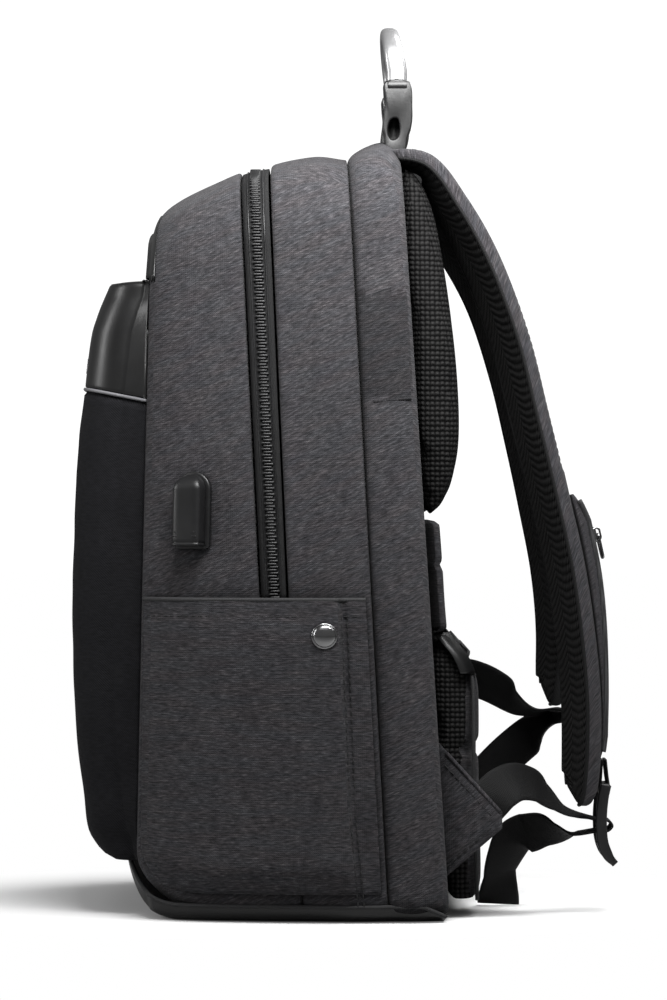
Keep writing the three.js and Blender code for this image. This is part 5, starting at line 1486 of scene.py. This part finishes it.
def strap_outline(frames, angles, inset=0.0):
    _, _, _, _, width, thick = frames
    half_w, half_h = width[:, None] / 2 - inset, thick[:, None] / 2 - inset
    c, s = np.cos(angles)[None], np.sin(angles)[None]
    across = width[:, None] / 2 + np.sign(c) * np.abs(c) ** 0.30 * half_w
    height = thick[:, None] / 2 + np.sign(s) * np.abs(s) ** 0.62 * half_h
    return across, height


def rounded_ends(frames, power=0.5, share=0.028):
    """How far a strap's outline is drawn in at its ends."""
    t = np.linspace(0, 1, len(frames[0]))
    return np.clip(np.minimum(t, 1 - t) / share, 0.05, 1) ** power


def make_strap(side):
    frames = strap_frames(side)
    at, _, _, _, width, thick = frames
    ends = rounded_ends(frames)[:, None]

    def drawn_in(across, least=0.76):
        return width[:, None] / 2 + (across - width[:, None] / 2) * (least + 0.25 * ends)

    angles = np.linspace(-math.pi, math.pi, 72, endpoint=False)
    across, height = strap_outline(frames, angles, 0.5 * MM)
    across = drawn_in(across, 0.75)
    grid = strap_points(frames, across, height)
    soft = wander(grid, (16, 16, 16), 41) * 0.7 * MM + wander(grid, (45, 45, 45), 42) * 0.25 * MM
    core = ring_object(f"strap_mesh_{side}", pushed(grid, soft), 3)
    paint(core, "strap_mesh")
    cover_angles = np.radians(np.linspace(-20, 200, 64))
    across, height = strap_outline(frames, cover_angles)
    across = drawn_in(across)
    if side == "right":
        height = height + ((1.0 * MM * smooth_mix(at, 5.62, 5.72))[:, None]
                           * (np.sin(cover_angles)[None] > 0.15))
    grid = strap_points(frames, across, height)
    soft = wander(grid, (18, 18, 14), 43) * 0.8 * MM
    grid = grid + frames[3][:, None] * soft[..., None] * (np.sin(cover_angles)[None, :, None] > 0)
    cover = grid_object(f"strap_cover_{side}", grid, 0.9 * MM)
    paint(cover, "melange_strap")
    cords = []
    for angle in (-21, 201):
        across, height = strap_outline(frames, np.radians([angle]))
        across = drawn_in(across)
        cords.append(tube("strap_cord", strap_points(frames, across, height)[:, 0], 1.25 * MM, 8))
        paint(cords[-1], "webbing")
    lines = []
    for share in (0.07, 0.93):
        across = (width * share)[6:-4, None]
        height = (thick * 0.93 + 0.5 * MM)[6:-4, None]
        part = tuple(value[6:-4] for value in frames)
        points = strap_points(part, across, height)[:, 0]
        lines.append(strap_stitches(points, frames[3][6:-4]))
    pieces = [core, cover, *cords, *lines]
    if side == "left":
        edge_angles = np.radians(np.linspace(150, 214, 16))
        across, height = strap_outline(frames, edge_angles, -0.8 * MM)
        across = drawn_in(across)
        band = grid_object("strap_band", strap_points(frames, across, height), 0.8 * MM)
        paint(band, "webbing")
        pieces.append(band)
    strap = joined(f"strap_{side}", pieces)
    dress(strap, None, "air_mesh", f"strap_pad_{side}")


def strap_stitches(points, outs):
    places, along = spaced(points, 4.6 * MM)
    length = np.concatenate([[0], np.cumsum(np.linalg.norm(np.diff(points, axis=0), axis=1))])
    at = np.linspace(0, length[-1], len(places))
    outward = np.stack([np.interp(at, length, outs[:, k]) for k in range(3)], axis=1)
    side = np.cross(outward, along)
    side /= np.linalg.norm(side, axis=1, keepdims=True)
    row = beads("strap_stitches", places, side, along, (0.75 * MM, 3.0 * MM, 0.6 * MM), 0.5)
    paint(row, "thread")
    return row


def pocket_rise(at):
    """Thickness of the strap pocket, which thins out below its zip slider."""
    return STRAP_POCKET["thickness"] * (1 - 0.62 * smooth_mix(at, 6.9, 9.6))


def make_strap_pocket():
    start, end = STRAP_POCKET["from"], STRAP_POCKET["to"]
    frames = strap_frames("right", start, end, 20)
    at, _, _, _, width, thick = frames
    t = np.linspace(0, 1, len(at))
    taper = np.clip(np.minimum(t, 1 - t) / 0.10, 0.02, 1) ** 0.55
    low = thick + 0.3 * MM
    high = pocket_rise(at) * (0.30 + 0.70 * taper)
    angles = np.linspace(-math.pi, math.pi, 60, endpoint=False)
    c, s = np.cos(angles)[None], np.sin(angles)[None]
    half = (width * (0.5 - STRAP_POCKET["margin"]))[:, None]
    across = width[:, None] / 2 + np.sign(c) * np.abs(c) ** 0.28 * half * (0.93 + 0.07 * taper[:, None])
    height = (low + high / 2)[:, None] + np.sign(s) * np.abs(s) ** 0.5 * high[:, None] / 2
    grid = strap_points(frames, across, height)
    soft = wander(grid, (20, 20, 20), 51) * 0.7 * MM
    body = ring_object("strap_pocket_cloth", pushed(grid, soft * taper[:, None]), 3)
    paint(body, "melange_strap")
    edge = strap_points(frames, (width * STRAP_POCKET["margin"] + 0.6 * MM)[:, None],
                        (low + high * 0.92)[:, None])[:, 0]
    cord = tube("strap_pocket_cord", edge[2:-2], 1.5 * MM, 10)
    paint(cord, "brown_binding")
    ridges = []
    for i in (3, len(at) - 4):
        part = tuple(value[i:i + 1] for value in frames)
        shares = np.linspace(0.09, 0.91, 40)
        line = strap_points(part, width[i] * shares[None], np.full((1, 40), low[i] + high[i] + 0.1 * MM))[0]
        ridges.append(tube("strap_pocket_hem", line, 1.1 * MM, 8))
        paint(ridges[-1], "melange_strap")
    pocket = joined("strap_pocket_cloth", [body, cord, *ridges])
    dress(pocket, None, "melange_fabric", "strap_pocket")
    frames = strap_frames("right", start + 0.5, end - 0.5, 24)
    at, _, _, _, width, thick = frames
    base = thick + pocket_rise(at) + 0.5 * MM
    middle = width * STRAP_POCKET["margin"] + STRAP_ZIP["edge"] + STRAP_ZIP["width"] / 2
    shares = np.linspace(-0.5, 0.5, 9)
    across = middle[:, None] + shares[None] * STRAP_ZIP["width"]
    tape = grid_object("strap_zip_tape",
                       strap_points(frames, across,
                                    base[:, None] + 0.3 * MM * np.abs(shares)[None] + 0.2 * MM), 0.7 * MM)
    paint(tape, "zip_tape")
    line = strap_points(frames, middle[:, None], (base + 0.7 * MM)[:, None])[:, 0]
    places, along = spaced(line, 1.5 * MM)
    wide = np.tile(frames[2].mean(axis=0), (len(places), 1))
    teeth = beads("strap_zip_teeth", places, along, wide, (1.0 * MM, 3.8 * MM, 1.1 * MM))
    paint(teeth, "zip_coil")
    zipper = joined("strap_zip_line", [tape, teeth])
    dress(zipper, None, "zip_tape", "strap_zip")


# Slider and pull of the strap pocket, flat: +X along the hinge, +Y up and +Z outward

PULL = {"slider_w": 6 * MM, "slider_l": 9 * MM, "slider_h": 2 * MM, "bridge_l": 8.4 * MM, "wire": 1.2 * MM,
        "room": 1.9 * MM, "ring": 6 * MM, "width": 6.4 * MM, "bar": 1.7 * MM, "length": 15 * MM,
        "thickness": 1.2 * MM}


def slider_seat():
    at = STRAP_POCKET["from"] + 0.5
    rows = np.array(STRAPS["right"])
    places = centripetal(rows[:, :3] * np.array([BODY_WIDTH, BODY_DEPTH, BODY_HEIGHT]),
                         [at - 0.01, at, at + 0.01])
    along, wide, out = (value[1] for value in route_frames(places, np.tile(STRAP_ACROSS, (3, 1))))
    width = np.interp(at, range(len(rows)), rows[:, 3]) * STRAP_WIDTH
    height = STRAP_THICKNESS + STRAP_POCKET["thickness"] + STRAP_ZIP["thickness"] + 0.9 * MM
    edge = width * STRAP_POCKET["margin"] + STRAP_ZIP["edge"] + STRAP_ZIP["width"] / 2
    place = places[1] + wide * edge + out * height + along * PULL["slider_l"] / 2
    return frame_matrix(place, np.cross(-along, out), out)


def make_pull():
    seat = slider_seat()
    w, l, h = PULL["slider_w"], PULL["slider_l"], PULL["slider_h"]
    outline = box_outline(w, l, 1.6 * MM, 6)
    outline[:, 0] *= 1 - 0.16 * smooth_mix(-outline[:, 1], 0, l / 2)
    body = plate("strap_slider_metal", outline,
                 [(0.4 * MM, 0), (0, 0.35 * MM), (0, 1.4 * MM), (0.25 * MM, 1.8 * MM), (0.7 * MM, h)], seat)
    top = h + PULL["room"] + PULL["wire"] / 2
    reach = PULL["bridge_l"] / 2 - PULL["wire"] / 2
    arch = [(0, -reach, h * 0.6), (0, -reach, h + 1.0 * MM), (0, -reach * 0.72, top), (0, 0, top + 0.15 * MM),
            (0, reach * 0.72, top), (0, reach, h + 1.0 * MM), (0, reach, h * 0.6)]
    arch = centripetal(np.array(arch), np.linspace(0, 6, 40))
    arch = np.array([tuple(seat @ Vector(p)) for p in arch])
    bridge = tube("bridge", arch, 0.62 * MM, 12)
    slider = joined("strap_slider_metal", [body, bridge])
    dress(slider, "chrome", "bright_metal", "strap_slider")
    axis = h + PULL["room"] / 2
    width, length, t = PULL["width"], PULL["length"], PULL["thickness"]
    outer = box_outline(width, length + PULL["wire"] / 2, 2.4 * MM, 10)
    outer[:, 1] -= (length - PULL["wire"] / 2) / 2
    outer[:, 0] *= 1 - 0.12 * smooth_mix(-outer[:, 1], PULL["ring"], length)
    inner = box_outline(width - 2 * PULL["bar"], PULL["ring"] - PULL["wire"] / 2, 1.2 * MM, 10)
    inner[:, 1] -= (PULL["ring"] + PULL["wire"] / 2) / 2
    vertices = []
    levels = [(0.25 * MM, -t / 2), (0, -t / 2 + 0.25 * MM), (0, t / 2 - 0.25 * MM), (0.25 * MM, t / 2)]
    for loop, sign in ((outer, -1), (inner, 1)):
        centre = loop.mean(axis=0)
        for inset, height in levels:
            for point in loop:
                direction = (point - centre) / np.linalg.norm(point - centre)
                x, y = point + direction * inset * sign
                vertices.append(tuple(seat @ Vector((x, y, axis + height))))
    pull = turn_outward(make_object("strap_pull_metal", vertices, pierced_faces(len(levels), len(outer))))
    dress(pull, "chrome", "bright_metal", "strap_pull", body="pull")


# Wings, webbing and buckles

WING = {"top": 0.218, "bottom": 0.052, "tip_y": 0.6707, "tip_high": 0.137, "tip_low": 0.116, "x": 124 * MM}
WEB_WIDTH = 25 * MM
WEB_THICKNESS = 1.6 * MM
BUCKLES = {"right": (0.283, 0.9973, 0.1146, 10, 1), "left": (-0.262, 0.9560, 0.2369, 9, -1)}
BUCKLE_HEIGHT = 47 * MM
BUCKLE_WIDTH = 35 * MM
BUCKLE_PROFILE = [(0.043, 0.521), (0.011, 0.372), (-0.011, 0.160), (-0.011, -0.053), (0.011, -0.223),
                  (0.074, -0.372), (0.160, -0.468)]
BUCKLE_TOP_BAR = (0.032, 0.425)
BUCKLE_BAR = 3 * MM

# Free webbing: x, y and z as shares of the body's width, depth and height, then its turn in degrees
WEBS = {
    "right": {
        "wing": [
            (0.4045, 0.5906, 0.133, 90), (0.4045, 0.6312, 0.1507, 90), (0.3967, 0.6667, 0.1648, 80),
            (0.3767, 0.7158, 0.1736, 60), (0.35, 0.7758, 0.1692, 40), (0.3233, 0.8307, 0.152, 20),
            (0.3033, 0.8852, 0.135, 5), (0.288, 0.9398, 0.1265, 0),
        ],
        "tail": [
            (0.2767, 0.9135, 0.103, 0), (0.2667, 0.8667, 0.1048, 25), (0.2467, 0.8141, 0.107, 55),
            (0.22, 0.7706, 0.1015, 80), (0.1933, 0.7268, 0.0917, 78), (0.1667, 0.702, 0.0721, 62),
            (0.1433, 0.6803, 0.0437, 48), (0.13, 0.6765, 0.02, 70), (0.1233, 0.6765, 0.003, 98),
        ],
    },
    "left": {
        "wing": [
            (-0.4045, 0.5684, 0.1048, 90), (-0.4045, 0.6119, 0.1223, 90), (-0.3933, 0.6667, 0.1485, 88),
            (-0.3733, 0.7323, 0.1769, 82), (-0.3467, 0.8034, 0.2031, 72), (-0.3, 0.8584, 0.2205, 40),
            (-0.266, 0.911, 0.229, 0),
        ],
        "tail": [
            (-0.265, 0.896, 0.246, 0), (-0.28, 0.8384, 0.244, 8), (-0.31, 0.7758, 0.253, 30),
            (-0.3367, 0.7268, 0.2664, 55), (-0.3667, 0.6557, 0.2806, 65), (-0.3967, 0.5901, 0.286, 70),
            (-0.42, 0.5731, 0.276, 80), (-0.43, 0.5656, 0.25, 88),
        ],
    },
}


def buckle_place(side, y=0.0, z=0.0):
    bx, by, bz, _, _ = BUCKLES[side]
    return np.array([bx * BODY_WIDTH, by * BODY_DEPTH + y * BUCKLE_HEIGHT,
                     bz * BODY_HEIGHT + z * BUCKLE_HEIGHT])


def ribbon(name, rows, per_row=9, cap_steps=1):
    """Flat webbing along rows of x, y, z and turn."""
    rows = np.array(rows)
    at = np.linspace(0, len(rows) - 1, (len(rows) - 1) * per_row + 1)
    points = centripetal(rows[:, :3], at)
    turn = np.radians(np.interp(at, range(len(rows)), rows[:, 3]))[:, None]
    along, level, _ = route_frames(points, np.tile((1.0, 0.0, 0.0), (len(points), 1)))
    upright = np.cross(along, level)
    wide = level * np.cos(turn) + upright * np.sin(turn)
    steps = np.linspace(-1, 1, 15)
    outline = [(s * WEB_WIDTH / 2, WEB_THICKNESS / 2 * (1 - 0.45 * abs(s) ** 12)) for s in steps]
    outline += [(s * WEB_WIDTH / 2, -WEB_THICKNESS / 2 * (1 - 0.45 * abs(s) ** 12)) for s in steps[::-1]]
    return swept(name, points, wide, np.tile(outline, (len(points), 1, 1)), cap_steps)


def make_webbing(side):
    route = WEBS[side]
    size = np.array([BODY_WIDTH, BODY_DEPTH, BODY_HEIGHT])

    def placed(row):
        return (*(np.array(row[:3]) * size), row[3])

    reach = BUCKLE_BAR / 2 + WEB_THICKNESS / 2 + 0.6 * MM
    sign = BUCKLES[side][4]
    middle = buckle_place(side)
    turns = [(0, 1), (1.25, 1), (2.1, 0), (1.25, -1), (0, -1)]
    around = [(middle[0], middle[1] + back * reach, middle[2] + up * sign * reach, 0) for back, up in turns]
    web = ribbon(f"web_{side}", [*map(placed, route["wing"]), *around, *map(placed, route["tail"])])
    dress(web, "webbing", "webbing", f"webbing_{side}")
    rows = STRAPS[side]
    at = BUCKLES[side][3]
    frames = strap_frames(side, at - 0.1, at + 0.1, 10)
    k = len(frames[0]) // 2
    bar = buckle_place(side, *BUCKLE_TOP_BAR)
    reach = BUCKLE_BAR / 2 + WEB_THICKNESS / 2 + 0.3 * MM
    thick = rows[at][4] * STRAP_THICKNESS
    seat = frames[1][k] + frames[3][k] * thick
    start = seat[1] + WEB_THICKNESS / 2 + 0.6 * MM
    layer = WEB_THICKNESS + 0.6 * MM
    half = (seat[2] + bar[2]) / 2
    points = [(start, seat[2]), ((start + bar[1] - reach) / 2, half)]
    points += [(bar[1] + back * reach, bar[2] + up * reach) for back,
               up in ((-1, 0.4), (-0.7, -0.7), (0, -1), (0.7, -0.7), (1, 0.4))]
    points += [((start + layer + bar[1] + reach) / 2, half), (start + layer, seat[2])]
    loop = ribbon(f"loop_{side}", [(bar[0], y, z, 0) for y, z in points])
    dress(loop, "webbing", "webbing", f"buckle_loop_{side}")


def make_buckle(side):
    profile = np.array([buckle_place(side, *row) for row in BUCKLE_PROFILE])
    route = catmull(profile, np.linspace(0, len(profile) - 1, 50))
    wide = np.tile((1.0, 0.0, 0.0), (len(route), 1))
    t = np.linspace(0, 1, len(route))
    taper = 1 - 0.35 * smooth_mix(t, 0.75, 1)
    pieces = []
    for shift in (-1, 1):
        sections = [box_outline(4.2 * MM, 6.4 * MM * k, 1.2 * MM, 5) for k in taper]
        rail = route + np.array([shift * (BUCKLE_WIDTH - 4.2 * MM) / 2, 0, 0])
        pieces.append(swept("buckle_rail", rail, wide, sections))
    lip = route[t > 0.66]
    sections = [box_outline(BUCKLE_WIDTH - 1 * MM, 5.2 * MM * k, 1.4 * MM,
                            5) for k in 1 - 0.45 * np.linspace(0, 1, len(lip)) ** 2]
    pieces.append(swept("buckle_lip", lip, wide[t > 0.66], sections))
    for y, z in ((0, 0), BUCKLE_TOP_BAR):
        place = buckle_place(side, y, z)
        matrix = frame_matrix(place - np.array([BUCKLE_WIDTH / 2 - 2 * MM, 0, 0]), (0, 1, 0), (1, 0, 0))
        length = BUCKLE_WIDTH - 4 * MM
        heights = np.linspace(0, length, 60)
        ribs = BUCKLE_BAR / 2 + 0.12 * MM * np.sin(heights / length * 2 * math.pi * 12)
        pieces.append(lathe("buckle_bar", list(zip(ribs, heights)), matrix, 20))
    top = profile[0]
    cross = swept("buckle_top",
                  np.array([top + np.array([x, 0.2 * MM, -1.2 * MM])
                            for x in np.linspace(-16 * MM, 16 * MM, 8)]),
                  np.tile((0.0, 1.0, 0.0), (8, 1)), [box_outline(5.0 * MM, 3.0 * MM, 1.2 * MM, 5)] * 8)
    pieces.append(cross)
    buckle = joined(f"buckle_body_{side}", pieces)
    dress(buckle, "plastic", "moulded_plastic", f"buckle_{side}")


def wing_edges(y):
    """Lower and upper edge of the wing at a distance from the bag."""
    root = 0.5 * (back_plane(WING["bottom"] * BODY_HEIGHT) + back_plane(WING["top"] * BODY_HEIGHT)) + 0.6 * MM
    share = (y - root) / (WING["tip_y"] * BODY_DEPTH - root)
    low = WING["bottom"] + (WING["tip_low"] - WING["bottom"]) * share
    high = WING["top"] + (WING["tip_high"] - WING["top"]) * share
    return low * BODY_HEIGHT, high * BODY_HEIGHT


def make_wings():
    tip = WING["tip_y"] * BODY_DEPTH
    root = back_plane(0.135 * BODY_HEIGHT) - 6 * MM
    rings = []
    for s in np.linspace(0, 1, 40):
        y = root + (tip - root) * (1 - (1 - s) ** 1.5)
        low, high = wing_edges(y)
        middle, half = (low + high) / 2, (high - low) / 2
        thick = 1.7 * MM * min(1, 0.35 + (tip - y) / (3 * MM))
        ring = []
        for a in np.linspace(0, 2 * math.pi, 72, endpoint=False):
            c, n = math.cos(a), math.sin(a)
            puff = 1 + 0.5 * math.sin(math.pi * min(max((y - root - 6 * MM) / (tip - root), 0),
                                                    1)) * (1 - abs(c) ** 3)
            ring.append((WING["x"] + math.copysign(abs(n) ** 0.35, n) * thick * puff, y,
                         middle + math.copysign(abs(c) ** 0.8, c) * half))
        rings.append(ring)
    right = cloth_uv(ring_object("wing_cloth_right", rings, 2))
    span = np.linspace(root + 8 * MM, tip - 1.5 * MM, 20)
    upper = [(WING["x"] + 1.2 * MM, y, wing_edges(y)[1] - 1.4 * MM) for y in span]
    hem = tube("wing_hem", upper, 1.3 * MM, 8)
    line = [(WING["x"] + 2.1 * MM, y - 1.4 * MM, wing_edges(y)[1] - 7.5 * MM) for y in span[:-2]]
    row = stitches("wing_stitches", line, (1, 0, 0))
    low = [(WING["x"] + 2.0 * MM, y - 1.2 * MM, wing_edges(y)[0] + 5 * MM) for y in span[:-2]]
    lower = stitches("wing_stitches", low, (1, 0, 0))
    paint(right, "melange_wing")
    paint(hem, "melange_wing")
    for piece in (row, lower):
        paint(piece, "thread")
    right = joined("wing_cloth_right", [right, hem, row, lower])
    dress(right, None, "melange_fabric", "wing_right")
    left = mirror_copy(right, "wing_cloth_left")
    dress(left, None, "melange_fabric", "wing_left")


make_body()
make_zips()
make_front_pocket()
make_front_panel()
make_base()
make_side_pocket()
make_snaps()
make_port()
make_upper_pad()
make_back_band()
make_lumbar()
make_handle()
for side in ("right", "left"):
    make_strap(side)
    make_webbing(side)
    make_buckle(side)
make_strap_pocket()
make_pull()
make_wings()
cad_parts["main_zip_slider"].data.materials.clear()
paint(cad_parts["main_zip_slider"], "chrome")


# Camera, light and floor

CAMERA = {"place": (2.6, 24.7 * MM, 244 * MM), "lens": 153.4}


def make_camera():
    camera = link(bpy.data.objects.new("camera", bpy.data.cameras.new("camera")))
    camera.location = CAMERA["place"]
    camera.rotation_euler = (math.radians(90), 0, math.radians(90))
    camera.data.lens = CAMERA["lens"]
    camera.data.clip_end = 50
    bpy.context.scene.camera = camera


def make_light(name, place, aim, size, energy):
    data = bpy.data.lights.new(name, "AREA")
    data.shape = "RECTANGLE"
    data.size, data.size_y = size
    data.energy = energy
    lamp = link(bpy.data.objects.new(name, data))
    lamp.location = place
    lamp.rotation_euler = (Vector(aim) - Vector(place)).to_track_quat("-Z", "Y").to_euler()


def make_studio():
    world = bpy.data.worlds.new("studio")
    bpy.context.scene.world = world
    world.use_nodes = True
    tree = world.node_tree
    fill = tree.nodes["Background"]
    fill.inputs["Color"].default_value = (1, 1, 1, 1)
    fill.inputs["Strength"].default_value = 0.20
    backdrop = tree.nodes.new("ShaderNodeBackground")
    backdrop.inputs["Color"].default_value = (1, 1, 1, 1)
    backdrop.inputs["Strength"].default_value = 1.1
    path = tree.nodes.new("ShaderNodeLightPath")
    mix = tree.nodes.new("ShaderNodeMixShader")
    tree.links.new(path.outputs["Is Camera Ray"], mix.inputs["Fac"])
    tree.links.new(fill.outputs["Background"], mix.inputs[1])
    tree.links.new(backdrop.outputs["Background"], mix.inputs[2])
    tree.links.new(mix.outputs["Shader"], tree.nodes["World Output"].inputs["Surface"])
    make_light("top_softbox", (0.38, 0.12, 0.68), (0, 0.06, 0.54), (0.5, 0.22), 9)
    make_light("key_softbox", (1.0, -0.1, 1.35), (0, 0, 0.3), (1.0, 1.0), 3)
    make_light("back_softbox", (-0.2, 0.6, 1.1), (0, 0.05, 0.4), (0.8, 0.8), 14)
    make_light("front_softbox", (0.3, -1.5, 0.7), (0, 0, 0.28), (0.25, 0.9), 9)
    size = 12
    corners = [(-size, -size, 0), (size, -size, 0), (size, size, 0), (-size, size, 0)]
    floor = make_object("floor", corners, [(0, 1, 2, 3)], smooth=False)
    n = Nodes("floor")
    cloud = n.noise(n.coordinates("Object", (1, 1, 1)), 3.0, 2.0)
    seen = n.add("ShaderNodeLightPath").outputs["Is Camera Ray"]
    color = n.ramp(cloud, [(0.3, (0.9, 0.9, 0.9)), (0.7, (0.92, 0.92, 0.92))])
    n.finish(n.multiply(color, n.ramp(seen, [(0, (0.45, 0.45, 0.45)), (1, (1, 1, 1))])), 0.7)
    reach = n.add("ShaderNodeVectorMath", operation="LENGTH")
    n.join(n.coordinates("Object", (1, 0.8, 1)), reach.inputs[0])
    far = n.add("ShaderNodeMapRange", interpolation_type="SMOOTHSTEP")
    far.inputs["From Min"].default_value, far.inputs["From Max"].default_value = 0.12, 0.24
    n.join(reach.outputs["Value"], far.inputs["Value"])
    white = n.add("ShaderNodeEmission")
    white.inputs["Strength"].default_value = 1.0
    mixed = n.add("ShaderNodeMixShader")
    n.join(n.math("MULTIPLY", far.outputs["Result"], seen), mixed.inputs["Fac"])
    n.join(n.shader.outputs["BSDF"], mixed.inputs[1])
    n.join(white.outputs["Emission"], mixed.inputs[2])
    n.join(mixed.outputs["Shader"], n.tree.nodes["Material Output"].inputs["Surface"])
    floor.data.materials.append(n.material)


make_camera()
make_studio()
bpy.context.scene.view_settings.view_transform = "Standard"
